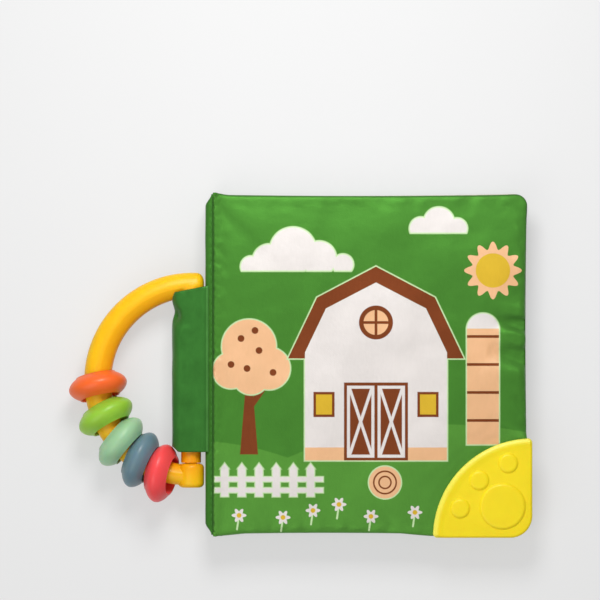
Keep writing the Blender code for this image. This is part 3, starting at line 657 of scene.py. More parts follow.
class Leaf:
    """One padded leaf: the space of its CAD panels, its seam line and its fullness."""

    def __init__(self, name, front_node, back_node, spacing, bitten=False):
        front_low, front_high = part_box(front_node)
        back_low, back_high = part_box(back_node)
        self.name = name
        self.left = min(front_low.x, back_low.x) - (COVER_SPINE_REACH if bitten else 0.0)
        self.right = max(front_high.x, back_high.x)
        self.half_height = max(front_high.y, back_high.y)
        self.middle = (front_high.z + back_low.z) / 2
        self.half_thickness = (front_high.z - back_low.z) / 2
        self.spacing = spacing
        self.bitten = bitten
        self.outline = self.seam_line()

    def seam_line(self):
        """The seam, anticlockwise, as points about one spacing apart."""
        radius = LEAF_CORNER_RADIUS
        right, half = self.right, self.half_height
        lower_right = arc_points((right - radius, -half + radius), radius, -90.0, 0.0, 10)
        if self.bitten:
            bite = TEETHER_RADIUS - TEETHER_GRIP + BITE_GAP
            down = math.degrees(math.asin((-half - TEETHER_CORNER.y) / bite))
            along = math.degrees(math.acos((right - TEETHER_CORNER.x) / bite))
            lower_right = arc_points(TEETHER_CORNER, bite, 180.0 - down, along, 24)
        upper_right = arc_points((right - radius, half - radius), radius, 0.0, 90.0, 10)
        corners = [[Vector((self.left, -half))], lower_right, upper_right, [Vector((self.left, half))]]
        inward = (Vector((0, 1)), Vector((-1, 0)), Vector((0, -1)), Vector((0, 0)))
        outline = []
        for index, points in enumerate(corners):
            start, end = points[-1], corners[(index + 1) % 4][0]
            outline += points
            steps = max(2, round((end - start).length / self.spacing))
            for step in range(1, steps):
                share = step / steps
                drawn = inward[index] * SIDE_DRAWN_IN * math.sin(math.pi * share)
                outline.append(start.lerp(end, share) + drawn)
        kept = [outline[0]]
        for point in outline[1:]:
            if (point - kept[-1]).length > CLOSEST_ON_SEAM * self.spacing:
                kept.append(point)
        return kept

    def seam_plane(self, x):
        """The seam's height: the front cover is sewn near the top of the spine."""
        lift = COVER_SEAM_LIFT if self.bitten else 0.0
        return self.middle + lift * np.exp(-(x - self.left) / COVER_LIFT_REACH)

    def from_seam(self, xy, at_spine=True):
        """The distance of each point from the seam line, with or without its side at the spine."""
        starts = np.array([p[:] for p in self.outline])
        runs = np.roll(starts, -1, axis=0) - starts
        nearest = np.full(len(xy), np.inf)
        for start, run in zip(starts, runs):
            if not at_spine and start[0] == self.left and run[0] == 0.0:
                continue
            share = np.clip(((xy - start) @ run) / (run @ run), 0.0, 1.0)
            nearest = np.minimum(nearest, np.linalg.norm(xy - start - share[:, None] * run, axis=1))
        return nearest

    def half_at(self, xy):
        """Half the thickness when filled: thin at the seam and where the teether grips."""
        share = 1 - np.exp(-(self.from_seam(xy, at_spine=False) / PILLOW_REACH) ** PILLOW_POWER)
        from_spine = np.maximum(xy[:, 0] - self.left, 0.0)
        share = np.minimum(share, 1 - np.exp(-(from_spine / SPINE_PILLOW_REACH) ** PILLOW_POWER))
        if self.bitten:
            corner = np.array(TEETHER_CORNER[:2])
            past = np.linalg.norm(xy - corner, axis=1) - TEETHER_RADIUS - GRIPPED_GAP
            back = np.clip(past / GRIPPED_REACH, 0.0, 1.0) ** 0.7
            share = np.minimum(share, GRIPPED_FILLING + (1 - GRIPPED_FILLING) * back)
        return SEAM_HALF_THICKNESS + share * (self.half_thickness - SEAM_HALF_THICKNESS)

    def panels(self):
        """Two flat panels sewn together along the seam line, slightly filled, as an object."""
        step = self.spacing
        points = list(self.outline)
        columns = int((self.right - self.left) / step) + 2
        rows = int(2 * self.half_height / (step * ROW_STEP)) + 2
        spots = []
        for row in range(rows):
            for column in range(columns):
                x = self.left + step * (column + (0.5 if row % 2 else 0.0))
                spots.append((x, -self.half_height + row * step * ROW_STEP))
        spots = np.array(spots)
        inside = np.array([self.contains(spot) for spot in spots])
        spots = spots[inside]
        spots = spots[self.from_seam(spots) > CLOSEST_TO_SEAM * step]
        points += [Vector(spot) for spot in spots]
        boundary = list(range(len(self.outline)))
        found, _, faces, _, _, _ = delaunay_2d_cdt(points, [], [boundary], 1, 1e-7)
        xy = np.array([p[:] for p in found])
        half = self.half_at(xy)
        plane = self.seam_plane(xy[:, 0])
        edge = self.from_seam(xy) < 1e-5
        bm = bmesh.new()
        upper = [bm.verts.new((x, y, z)) for (x, y), z in zip(xy, plane + np.where(edge, 0.0, half))]
        lower = []
        for index, vert in enumerate(upper):
            if edge[index]:
                lower.append(vert)
            else:
                lower.append(bm.verts.new((*xy[index], plane[index] - half[index])))
        for face in faces:
            if all(edge[i] for i in face):
                self.fill_ear(bm, [upper[i] for i in face])
                continue
            bm.faces.new([upper[i] for i in face]).material_index = 0
            bm.faces.new([lower[i] for i in reversed(face)]).material_index = 1
        mesh = bpy.data.meshes.new(self.name)
        bm.to_mesh(mesh)
        bm.free()
        return mesh

    def fill_ear(self, bm, corners):
        """A triangle whose corners all lie on the seam: each panel gets its own point in the middle."""
        centre = sum((vert.co for vert in corners), Vector()) / 3
        for side, index in ((1, 0), (-1, 1)):
            tip = bm.verts.new(centre + Vector((0.0, 0.0, side * SEAM_HALF_THICKNESS)))
            for first, second in zip(corners, corners[1:] + corners[:1]):
                ends = (first, second) if side > 0 else (second, first)
                bm.faces.new((*ends, tip)).material_index = index

    def contains(self, spot):
        """Whether a spot lies within the seam line."""
        x, y = spot
        inside = False
        for a, b in zip(self.outline, self.outline[1:] + self.outline[:1]):
            if (a.y > y) != (b.y > y) and x < (b.x - a.x) * (y - a.y) / (b.y - a.y) + a.x:
                inside = not inside
        return inside


def positions(mesh):
    """A mesh's points as rows of three."""
    flat = np.zeros(len(mesh.vertices) * 3)
    mesh.vertices.foreach_get("co", flat)
    return flat.reshape(-1, 3)


def set_positions(mesh, points):
    mesh.vertices.foreach_set("co", points.astype(np.float32).ravel())
    mesh.update()


def inflate(pads):
    """Fills the sewn leaves like pads: all of them are simulated in one run of frames."""
    scene = bpy.context.scene
    copies = []
    for leaf, obj in pads:
        copy = bpy.data.objects.new(leaf.name + " filling", obj.data.copy())
        scene.collection.objects.link(copy)
        start = positions(copy.data)
        middle = np.array((0.0, 0.0, leaf.middle))
        set_positions(copy.data, (start - middle) * START_FLATTENED * SIMULATION_SCALE)
        held = copy.vertex_groups.new(name="sewn down")
        xy = start[:, :2]
        pinned = xy[:, 0] < leaf.left + ON_SEAM
        if leaf.bitten:
            corner = np.array(TEETHER_CORNER[:2])
            pinned |= np.linalg.norm(xy - corner, axis=1) < TEETHER_RADIUS
        held.add([int(i) for i in np.flatnonzero(pinned)], 1.0, "REPLACE")
        modifier = copy.modifiers.new("filling", "CLOTH")
        cloth = modifier.settings
        cloth.quality = 5
        cloth.mass = 0.3
        cloth.tension_stiffness = 30.0
        cloth.compression_stiffness = 12.0
        cloth.shear_stiffness = 5.0
        cloth.bending_stiffness = 0.05
        cloth.use_pressure = True
        cloth.uniform_pressure_force = FILLING_PRESSURE
        cloth.vertex_group_mass = held.name
        cloth.effector_weights.gravity = 0.0
        modifier.point_cache.frame_start = 1
        modifier.point_cache.frame_end = SIMULATION_FRAMES
        copies.append(copy)
    for frame in range(1, SIMULATION_FRAMES + 1):
        scene.frame_set(frame)
    graph = bpy.context.evaluated_depsgraph_get()
    for (leaf, obj), copy in zip(pads, copies):
        filled = copy.evaluated_get(graph).to_mesh()
        middle = np.array((0.0, 0.0, leaf.middle))
        result = positions(filled) / SIMULATION_SCALE + middle
        move = result - positions(obj.data)
        far = np.linalg.norm(move[:, :2], axis=1)
        scale = np.minimum(1.0, MOST_MOVE / np.maximum(far, 1e-9))
        settled = positions(obj.data)
        settled[:, :2] += move[:, :2] * scale[:, None]
        rise = result[:, 2] - leaf.seam_plane(settled[:, 0])
        limit = leaf.half_thickness
        settled[:, 2] = leaf.seam_plane(settled[:, 0]) + limit * np.tanh(rise / limit)
        set_positions(obj.data, settled)
    for copy in copies:
        mesh = copy.data
        bpy.data.objects.remove(copy)
        bpy.data.meshes.remove(mesh)
    scene.frame_set(1)


def refine(obj):
    """One smooth subdivision of the triangles."""
    bm = bmesh.new()
    bm.from_mesh(obj.data)
    bmesh.ops.subdivide_edges(bm, edges=bm.edges, cuts=1, use_grid_fill=True, smooth=0.55)
    bm.to_mesh(obj.data)
    bm.free()
    obj.data.update()


# Creases that run in from the seam: start on the seam, inner end, width and depth, in millimetres.
# A depth below zero is a ridge.
COVER_CREASES = (
    ((81.5, 18.8), (64.0, 22.8), 2.5, 3.2),
    ((81.5, 3.0), (60.0, 7.0), 4.0, 3.2),
    ((81.5, 11.5), (66.0, 14.5), 3.2, -1.6),
    ((81.5, 27.0), (62.0, 30.0), 4.0, -1.3),
    ((81.0, 44.0), (70.0, 43.0), 2.6, 0.6),
    ((81.0, -20.0), (71.0, -16.0), 2.8, 0.6),
    ((52.0, 86.0), (50.0, 74.0), 3.0, 0.5),
    ((8.0, 86.0), (10.0, 76.0), 3.4, 0.5),
    ((-40.0, 86.0), (-42.0, 77.0), 3.0, 0.4),
    ((-30.0, -86.0), (-33.0, -75.0), 3.0, 0.6),
    ((10.0, -86.0), (13.0, -76.0), 2.6, 0.6),
)

# A crease fades towards its inner end with this power, and raises a lip of this share beside it
CREASE_FADE = 0.7
CREASE_LIP_SHARE = 0.4
CREASE_LIP_PLACE = 2.1

# The filling: where it starts in from the seam, the sizes of its lumps, what it lacks and how uneven it is
FILLING_STARTS = (0.5 * MM, 6.0 * MM)
LUMP_SIZE_MM = 27.0
SMALL_LUMP_SIZE_MM = 11.0
SMALL_LUMP_SHARE = 0.35
FILLING_LOSS_MM = 0.50
FILLING_UNEVEN_MM = 0.95

# Puckers: how deep, how far from the spine or the seam their middle lies, and over what reach
SPINE_PUCKERS = (0.55, 1.4 * MM, 2.2 * MM)
EDGE_PUCKERS = (0.35, 3.0 * MM, 4.0 * MM)
EDGE_PUCKER_SIZE_MM = 5.0
OTHER_SIDE_SEED = 7.0

# A leaf is never thinner than twice this, nor fuller than its panels less this
THINNEST_HALF = 0.12 * MM
PANEL_MARGIN = 0.02 * MM


def shape_pad(leaf, obj, seed, creases=()):
    """The small forms of a sewn leaf: seam puckers, creases and an uneven filling."""
    points = positions(obj.data)
    side = np.sign(points[:, 2] - leaf.seam_plane(points[:, 0]))
    depth = leaf.from_seam(points[:, :2])
    from_edges = leaf.from_seam(points[:, :2], at_spine=False)
    for index, (x, y, z) in enumerate(points):
        up = side[index]
        plane = float(leaf.seam_plane(x))
        half = abs(z - plane)
        inner = smooth_step(depth[index], *FILLING_STARTS)
        spot = Vector((x, y, up * leaf.middle + seed)) / MM
        filling = noise.noise(spot / LUMP_SIZE_MM)
        filling += SMALL_LUMP_SHARE * noise.noise(spot / SMALL_LUMP_SIZE_MM)
        half -= (FILLING_LOSS_MM + FILLING_UNEVEN_MM * filling) * MM * inner
        if creases:
            half *= 1 - COVER_DOME * math.exp(-from_edges[index] / COVER_DOME_REACH)
            half *= 1 - COVER_TOP_SLOPE * math.exp(-((leaf.half_height - y) / COVER_TOP_REACH) ** 2)
        puckers = pucker(y, 1.0) if up > 0 else noise.noise(Vector((y / MM / PUCKER_SIZE_MM, seed, up)))
        share, middle, reach = SPINE_PUCKERS
        half *= 1 + share * puckers * bump(x, leaf.left + middle, reach)
        along = Vector((x, y, 0.0)) / MM
        size = EDGE_PUCKER_SIZE_MM
        puckers = noise.noise(Vector((along.x / size, along.y / size, seed + OTHER_SIDE_SEED * up)))
        share, middle, reach = EDGE_PUCKERS
        half *= 1 + share * puckers * bump(depth[index], middle, reach)
        if up > 0:
            for start, end, width, deep in creases:
                first, last = Vector(start) * MM, Vector(end) * MM
                run = last - first
                off = Vector((x, y)) - first
                share = min(1.0, max(0.0, off.dot(run) / run.length_squared))
                away = (off - run * share).length
                cut = deep * MM * (1 - share) ** CREASE_FADE * bump(away, 0.0, width * MM)
                lip = CREASE_LIP_SHARE * deep * MM * (1 - share)
                lip *= bump(away, CREASE_LIP_PLACE * width * MM, width * MM)
                half -= (cut - lip) * smooth_step(depth[index], 0.0, 2.0 * MM)
        if depth[index] > ON_SEAM:
            half = min(max(half, THINNEST_HALF), leaf.half_thickness - PANEL_MARGIN)
        points[index, 2] = plane + up * half
    set_positions(obj.data, points)


def build_leaves(cloths):
    """The four padded leaves. Each stands for its two panels, its wadding and its film."""
    plans = (
        ("front_cover", "front_cover", "cloth", "lining", "cover_cloth",
         COVER_MESH_SPACING, True, 3.0, COVER_CREASES),
        ("leaf_1", "leaf_1", "front_cloth", "back_cloth", "page_cloth", PAGE_MESH_SPACING, False, 11.0, ()),
        ("leaf_2", "leaf_2", "front_cloth", "back_cloth", "page_cloth", PAGE_MESH_SPACING, False, 23.0, ()),
        ("back_cover", "book", "lining", "cloth", "cover_cloth", PAGE_MESH_SPACING, False, 37.0, ()),
    )
    pads = []
    for stem, _, upper, lower, _, spacing, bitten, _, _ in plans:
        leaf = Leaf(f"{stem}_pad", f"{stem}_{upper}", f"{stem}_{lower}", spacing, bitten)
        pads.append((leaf, new_object(leaf.name, leaf.panels(), *cloths[stem])))
    inflate(pads)
    for (leaf, obj), (stem, body, upper, lower, slot, _, _, seed, creases) in zip(pads, plans):
        refine(obj)
        shape_pad(leaf, obj, seed, creases)
        obj.data.shade_smooth()
        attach(obj, body)
        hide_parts(f"{stem}_{upper}", f"{stem}_{lower}", f"{stem}_wadding", f"{stem}_film")


def smooth_loop(points, steps):
    """A closed Catmull-Rom curve through points."""
    loop = []
    count = len(points)
    for index in range(count):
        before, start, end, after = (Vector(points[(index + k) % count]) for k in (-1, 0, 1, 2))
        for step in range(steps):
            t = step / steps
            loop.append(0.5 * ((2 * start) + (end - before) * t
                               + (2 * before - 5 * start + 4 * end - after) * t * t
                               + (3 * start - before - 3 * end + after) * t ** 3))
    return loop


def rounded_rod(name, x, z, radius, ends, edge, material=None, segments=56, ridge=0.0):
    """A rod along Y with rounded ends, and a fine mould line along its front if ridge is given."""
    low, high = ends
    stations = [(low + edge * (1 - math.cos(a)), radius - edge * (1 - math.sin(a)))
                for a in (math.pi / 2 * k / 6 for k in range(7))]
    stations += [(high - (y - low), r) for y, r in reversed(stations)]
    loops = []
    for y, reach in stations:
        loop = []
        for step in range(segments):
            angle = 2 * math.pi * step / segments
            grown = reach + ridge * bump(angle, MOULD_LINE_TURN, MOULD_LINE_WIDTH)
            loop.append((x + grown * math.cos(angle), y, z + grown * math.sin(angle)))
        loops.append(loop)
    return loft(name, loops, material)


def ring_line(steps):
    """The ring's sections from its rounded upper tip to its lower boss: middle, way out and size.

    The upper half keeps one outer edge, so that it narrows on the inside alone.
    """
    half_width = RING_SECTION[0][0] * MM
    tip_radius = RING_RADIUS + half_width * (1.0 - RING_UPPER_SCALE)
    up = Vector((0.0, 1.0, 0.0))
    line = []
    for turn in np.linspace(RING_TIP_TURN, 0.0, RING_TIP_STEPS):
        past = RING_TIP_LENGTH - RING_TIP_ROUND * (1 - math.sin(math.pi / 2 * turn))
        size = RING_UPPER_SCALE * math.cos(math.pi / 2 * turn) ** RING_TIP_POWER
        line.append((RING_CENTRE + up * tip_radius + Vector((past, 0.0, 0.0)), up, size))
    for step in range(steps + 1):
        share = step / steps
        upper = share < 0.5
        end_scale = RING_UPPER_SCALE if upper else RING_LOWER_SCALE
        size = 1.0 - (1.0 - end_scale) * (2 * share - 1) ** 2
        radius = RING_RADIUS + (half_width * (1.0 - size) if upper else 0.0)
        angle = math.radians(90.0 + 180.0 * share)
        out = Vector((math.cos(angle), math.sin(angle), 0.0))
        line.append((RING_CENTRE + out * radius, out, size))
    return line


def ring_section(steps):
    """The ring's whole section as a smooth loop: the listed half and its mirror image."""
    return smooth_loop(list(RING_SECTION) + [(x, -z) for x, z in reversed(RING_SECTION[1:-1])], steps)


def build_ring(plastic):
    """The half ring with its two bosses, and the rod that snaps in between them."""
    section = ring_section(4)
    loops = []
    for middle, out, size in ring_line(RING_STEPS):
        loops.append([middle + (out * p.x + Vector((0.0, 0.0, p.y))) * size * MM for p in section])
    ring = loft("ring", loops, plastic)
    for label, ends in (("upper boss", UPPER_BOSS_Y), ("lower boss", LOWER_BOSS_Y)):
        boss = rounded_rod(label, BOSS_X, RING_CENTRE.z, BOSS_RADIUS, ends, BOSS_EDGE)
        combine(ring, boss, "UNION")
    sockets = ((UPPER_BOSS_Y[0] - MM, UPPER_BOSS_Y[0] + SPIGOT_LENGTH + BAR_GAP),
               (LOWER_BOSS_Y[1] - SPIGOT_LENGTH - BAR_GAP, LOWER_BOSS_Y[1] + MM))
    for ends in sockets:
        radius = SPIGOT_RADIUS + BAR_GAP
        socket = rounded_rod("socket", BOSS_X, RING_CENTRE.z, radius, ends, SOCKET_EDGE, segments=32)
        combine(ring, socket, "DIFFERENCE")
    soften_edges(ring, SOFT_ANGLE)
    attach(ring, "ring")
    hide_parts("ring_arc")

    low, high = LOWER_BOSS_Y[1] + BAR_GAP, UPPER_BOSS_Y[0] - BAR_GAP
    bar = rounded_rod("bar", BOSS_X, RING_CENTRE.z, BAR_RADIUS, (low, high), BAR_EDGE, plastic,
                      ridge=MOULD_LINE_HEIGHT)
    spigot_ends = (low - SPIGOT_LENGTH, high + SPIGOT_LENGTH)
    spigot = rounded_rod("spigots", BOSS_X, RING_CENTRE.z, SPIGOT_RADIUS, spigot_ends, SPIGOT_EDGE,
                         segments=32)
    combine(bar, spigot, "UNION")
    soften_edges(bar, SOFT_ANGLE)
    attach(bar, "ring")
    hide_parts("ring_bar")


def bead_section():
    """A bead's section, from the hole's top lip over the outside to its bottom lip and back up the hole."""
    power = 1 / BEAD_FULLNESS
    full = BEAD_HALF_THICKNESS / (1 - (BEAD_HOLE_RADIUS / BEAD_RADIUS) ** BEAD_FULLNESS) ** power
    lip = BEAD_LIP
    outside = []
    steps = 40
    for step in range(steps + 1):
        angle = math.pi / 2 * step / steps
        radius = BEAD_RADIUS * math.cos(angle) ** (2 * power)
        height = full * math.sin(angle) ** (2 * power)
        if radius > BEAD_HOLE_RADIUS + lip:
            outside.append((radius, min(height, BEAD_HALF_THICKNESS)))
    eased = []
    for step in range(6):
        angle = math.pi / 2 * step / 5
        eased.append((BEAD_HOLE_RADIUS + lip * (1 - math.sin(angle)),
                      BEAD_HALF_THICKNESS - lip * (1 - math.cos(angle))))
    upper = outside + eased
    lower = [(radius, -height) for radius, height in reversed(upper)]
    return lower[:-1] + upper


def build_beads(materials):
    """Five loose beads, each with its hole round the ring."""
    section = bead_section()
    for name, angle, outwards, upwards, tilt, lean in BEADS:
        around = math.radians(angle)
        out = Vector((-math.cos(around), -math.sin(around), 0.0))
        up = Vector((0.0, 0.0, upwards)) * MM
        place = Matrix.Translation(RING_CENTRE + out * (RING_RADIUS + outwards * MM) + up)
        turn = Matrix.Rotation(math.radians(tilt), 4, "Z")
        turn = turn @ Matrix.Rotation(math.radians(90.0 - lean), 4, "X")
        loops = []
        for step in range(BEAD_SEGMENTS):
            spin = 2 * math.pi * step / BEAD_SEGMENTS
            loops.append([place @ turn @ Vector((r * math.cos(spin), r * math.sin(spin), h))
                          for r, h in section])
        piece = loft(name + "_turned", loops, materials[name], closed=True)
        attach(piece, name)
        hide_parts(name)


def teether_loop(inset, z):
    """The teether's outline, drawn in by an inset, at one height."""
    arc = TEETHER_RADIUS - inset
    corner = TEETHER_CORNER_RADIUS
    tip = max(TEETHER_TIP_RADIUS - inset, 0.3 * MM)
    lead = inset + tip
    reach = math.degrees(math.asin(2 * lead / arc))
    points = arc_points((tip - arc, lead), tip, 180.0, 270.0, 6)
    points += arc_points((-corner, corner), corner - inset, -90.0, 0.0, 14)
    points += arc_points((-lead, arc - tip), tip, 0.0, 90.0, 6)
    points += arc_points((0.0, 0.0), arc, 90.0 + reach, 180.0 - reach, 60)
    return [Vector((TEETHER_CORNER.x + p.x, TEETHER_CORNER.y + p.y, z)) for p in points]


def teether_rim(top):
    """A rounded roll along the teether's arc."""
    loops = []
    for angle in np.linspace(*TEETHER_RIM_ANGLES, 90):
        out = Vector((math.cos(math.radians(angle)), math.sin(math.radians(angle)), 0.0))
        loop = []
        for inset, rise in TEETHER_RIM:
            height = Vector((0.0, 0.0, top + rise * MM))
            loop.append(TEETHER_CORNER + out * (TEETHER_RADIUS - inset * MM) + height)
        loops.append(loop)
    return loft("rim", loops)


def build_teether(rubber):
    """The moulded corner: a roll along its arc, raised pads and a slot that grips the cloth."""
    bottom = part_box("corner_teether")[0].z
    top = bottom + TEETHER_FACE_HEIGHT
    edge = TEETHER_EDGE
    loops = []
    turns = [math.pi / 2 * step / 6 for step in range(7)]
    for turn in turns:
        loops.append(teether_loop(edge * (1 - math.sin(turn)), bottom + edge * (1 - math.cos(turn))))
    for turn in turns:
        loops.append(teether_loop(edge * (1 - math.cos(turn)), top - edge * (1 - math.sin(turn))))
    piece = loft("teether", loops, rubber)
    inner = TEETHER_RADIUS - TEETHER_GRIP - TEETHER_SLOT_GAP
    outer = TEETHER_RADIUS + TEETHER_GRIP
    middle = bottom + TEETHER_SLOT_HEIGHT
    band = arc_points(TEETHER_CORNER, inner, *TEETHER_SLOT_ANGLES, 60)
    band += list(reversed(arc_points(TEETHER_CORNER, outer, *TEETHER_SLOT_ANGLES, 60)))
    slot = loft("slot", [[(p.x, p.y, middle + side * TEETHER_SLOT_HALF) for p in band] for side in (-1, 1)])
    combine(piece, slot, "DIFFERENCE")
    combine(piece, teether_rim(top), "UNION")
    for x, y, radius in TEETHER_PADS:
        centre = TEETHER_CORNER + Vector((x, y, 0.0)) * MM
        loops = []
        for grow, height in TEETHER_PAD_PROFILE:
            circle = arc_points(centre, (radius + grow) * MM, 0.0, 360.0, 64)[:-1]
            loops.append([(p.x, p.y, top + height * MM) for p in circle])
        combine(piece, loft("pad", loops), "UNION")
    soften_edges(piece, TEETHER_SOFT_ANGLE)
    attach(piece, "front_cover")
    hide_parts("corner_teether")


def pucker(y, seed):
    """How the cloth gathers along the spine's seam."""
    return noise.noise(Vector((y / MM / PUCKER_SIZE_MM, seed, 0.0)))


# The spine fold's upper half: the share of its width, and how far up its rounded corner
SPINE_PROFILE = (
    (0.00, 0.35), (0.10, 0.75), (0.32, 0.97), (0.58, 1.0), (0.80, 0.99), (0.92, 0.94), (1.00, 0.80),
)
SPINE_CORNER = 2.2 * MM
SPINE_TUCK = 3.0 * MM
SPINE_TUCK_REACH = 6.0 * MM
SPINE_WAVE = 0.30 * MM
SPINE_DIP = 0.10 * MM
SPINE_BULGE = 0.18 * MM
SPINE_BULGES = 4
SLOW_WAVE_SIZE_MM = 14.0
STITCH_FROM_EDGE = 0.85 * MM
STITCH_PITCH = 3.6 * MM
STITCH_LENGTH = 2.7 * MM
STITCH_HALF_THICKNESS = 0.20 * MM
STITCHES_FROM_END = 4 * MM


def build_spine(cloth, thread):
    """The folded strip that the leaves are sewn into, with its topstitching."""
    low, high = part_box("spine_strip")
    half = high.y
    loops = []
    steps = 150
    for step in range(steps + 1):
        y = -half + 2 * half * step / steps
        from_end = half - abs(y)
        tuck = SPINE_TUCK * (1 - smooth_step(from_end, 0.0, SPINE_TUCK_REACH))
        wave = pucker(y, 1.0)
        slow = noise.noise(Vector((y / MM / SLOW_WAVE_SIZE_MM, 4.0, 0.0)))
        left = low.x + tuck + 0.25 * MM * (1 + slow) * 0.5
        right = high.x
        top = high.z + SPINE_WAVE * wave
        bottom = low.z + SPINE_DIP * (1 + wave)
        loop = []
        dip = SPINE_DIP * (1 + 0.5 * wave)
        corner = SPINE_CORNER
        for share, rise in SPINE_PROFILE:
            z = top - corner * (1 - rise)
            if 0.55 < share < 0.85:
                z += 0.15 * MM * wave
            loop.append((left + (right - left) * share, y, z - (dip if share > 0.95 else 0.0)))
        for share in (0.75, 0.5, 0.25):
            loop.append((right, y, bottom + corner + (top - bottom - 2 * corner) * share))
        for share, rise in reversed(SPINE_PROFILE):
            loop.append((left + (right - left) * share, y, bottom + corner * (1 - rise)))
        for share in (0.15, 0.3, 0.45, 0.6, 0.75, 0.9):
            bulge = SPINE_BULGE * math.sin(share * SPINE_BULGES * 2 * math.pi + slow)
            loop.append((left - bulge, y, bottom + corner + (top - bottom - 2 * corner) * share))
        loops.append(loop)
    piece = loft("spine_fold", loops, cloth)
    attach(piece, "book")
    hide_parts("spine_strip")

    stitch_x = high.x - STITCH_FROM_EDGE
    threads = []
    count = int((2 * half - 2 * STITCHES_FROM_END) / STITCH_PITCH)
    for index in range(count):
        middle = -half + STITCHES_FROM_END + STITCH_PITCH * (index + 0.5)
        stations = []
        for step in range(7):
            share = step / 6
            y = middle + STITCH_LENGTH * (share - 0.5)
            arch = math.sin(math.pi * share)
            z = high.z - 0.10 * MM + 0.20 * MM * arch + 0.2 * MM * pucker(y, 1.0)
            thick = STITCH_HALF_THICKNESS * (0.45 + 0.55 * arch)
            stations.append([(stitch_x + thick * math.cos(2 * math.pi * k / 8), y,
                              z + thick * math.sin(2 * math.pi * k / 8)) for k in range(8)])
        threads.append(loft("stitch", stations, thread))
    stitches = join_pieces("spine_stitches", threads)
    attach(stitches, "book")


def join_pieces(name, objects):
    """One object from several meshes that share a material."""
    bm = bmesh.new()
    for obj in objects:
        bm.from_mesh(obj.data)
    mesh = bpy.data.meshes.new(name)
    bm.to_mesh(mesh)
    bm.free()
    material = objects[0].data.materials[0]
    for obj in objects:
        bpy.data.objects.remove(obj)
    piece = new_object(name, mesh, material)
    mesh.shade_smooth()
    return piece


# The tab's path, from above the bar: the half thickness of its cloth, its free side, and its large and
# small bends
TAB_HALF = 0.3 * MM
TAB_SPINE_X = -81.9 * MM
TAB_BEND = 5.0 * MM
TAB_SMALL_BEND = 1.2 * MM
TAB_STEPS = 84
# Its ends: how far they slant, and how far the lower one is lifted at the free side, between two places
TAB_SLANT = 1.5 * MM
TAB_LIFT = 2.6 * MM
TAB_LIFTED = (94.0 * MM, 97.5 * MM)
# Its soft forms: which height counts as its upper side, where it lies free of its hem and where its edge
# is drawn in, the dimple beside the ring (middle and reach in X and Y), and what sinks how far
TAB_UPPER = (12.0 * MM, 20.0 * MM)
TAB_FREE = (82.4 * MM, 85.0 * MM)
TAB_EDGE = (92.0 * MM, 97.5 * MM)
DIMPLE_X = (-95.6 * MM, 2.6 * MM)
DIMPLE_Y = (24.0 * MM, 3.2 * MM)
DIMPLE_DEPTH = 3.8 * MM
PULL_Y = (26.5 * MM, 3.6 * MM)
PULL = 1.3 * MM
PULL_UNEVEN = 0.35 * MM
TAB_SAG = 0.75 * MM
TAB_RIPPLE = 0.35 * MM


def build_sleeve(cloth):
    """The tab: one cloth from its hem on the spine, round the bar and back to the spine's side."""
    low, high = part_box("sleeve")
    hem_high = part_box("sleeve_hem")[1]
    cloth_half = TAB_HALF
    bottom_y, top_y = low.y, high.y - TAB_SLANT
    left, right = low.x - 0.4 * MM + cloth_half, TAB_SPINE_X - cloth_half
    top_z, bottom_z = high.z - cloth_half, low.z + cloth_half
    big, small = TAB_BEND, TAB_SMALL_BEND
    path = [(hem_high.x, hem_high.z - cloth_half), (hem_high.x - 0.8 * MM, hem_high.z - cloth_half)]
    path += [(-80.6 * MM, hem_high.z - cloth_half + 0.2 * MM), (-81.4 * MM, top_z - 0.1 * MM)]
    top_run = right - left - big
    path += [(left + big + top_run * share, top_z) for share in (0.95, 0.75, 0.55, 0.35, 0.18, 0.06)]
    path += [p[:] for p in arc_points((left + big, top_z - big), big, 90.0, 180.0, 8)]
    path += [p[:] for p in arc_points((left + big, bottom_z + big), big, 180.0, 270.0, 8)]
    underside = right - small - left - big
    path += [(left + big + underside * share, bottom_z) for share in (0.1, 0.3, 0.5, 0.7, 0.9)]
    path += [p[:] for p in arc_points((right - small, bottom_z + small), small, -90.0, 0.0, 4)]
    rise = top_z - bottom_z - 2 * small
    path += [(right, bottom_z + small + rise * share) for share in (0.25, 0.5, 0.75, 0.93)]
    rows = []
    for step in range(TAB_STEPS + 1):
        share = step / TAB_STEPS
        row = []
        for x, z in path:
            slant = TAB_SLANT * (2 * (x - left) / (right - left) - 1)
            lift = TAB_LIFT * smooth_step(-x, *TAB_LIFTED)
            y = (bottom_y + lift) * (1 - share) + (top_y + slant) * share
            upper = smooth_step(z, *TAB_UPPER)
            dimple = bump(y, *DIMPLE_Y) * bump(x, *DIMPLE_X)
            soft = noise.noise(Vector((x / MM / 7.0, y / MM / 13.0, z / MM / 9.0)))
            ripple = noise.noise(Vector((x / MM / 3.5, y / MM / 5.0, 9.0)))
            free = smooth_step(-x, *TAB_FREE)
            pull = PULL * bump(y, *PULL_Y) + PULL_UNEVEN * (1 + soft)
            sink = upper * free * (DIMPLE_DEPTH * dimple + TAB_SAG * (1 + soft) + TAB_RIPPLE * ripple)
            row.append((x + pull * smooth_step(-x, *TAB_EDGE), y, z - sink))
        rows.append(row)
    piece = loft("sleeve_cloth", rows, cloth, around=False)
    thicken(piece, 2 * cloth_half)
    combine(piece, ring_cutter(CUT_GAP), "DIFFERENCE")
    piece.data.shade_smooth()
    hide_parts("sleeve", "sleeve_hem")
    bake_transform(piece)


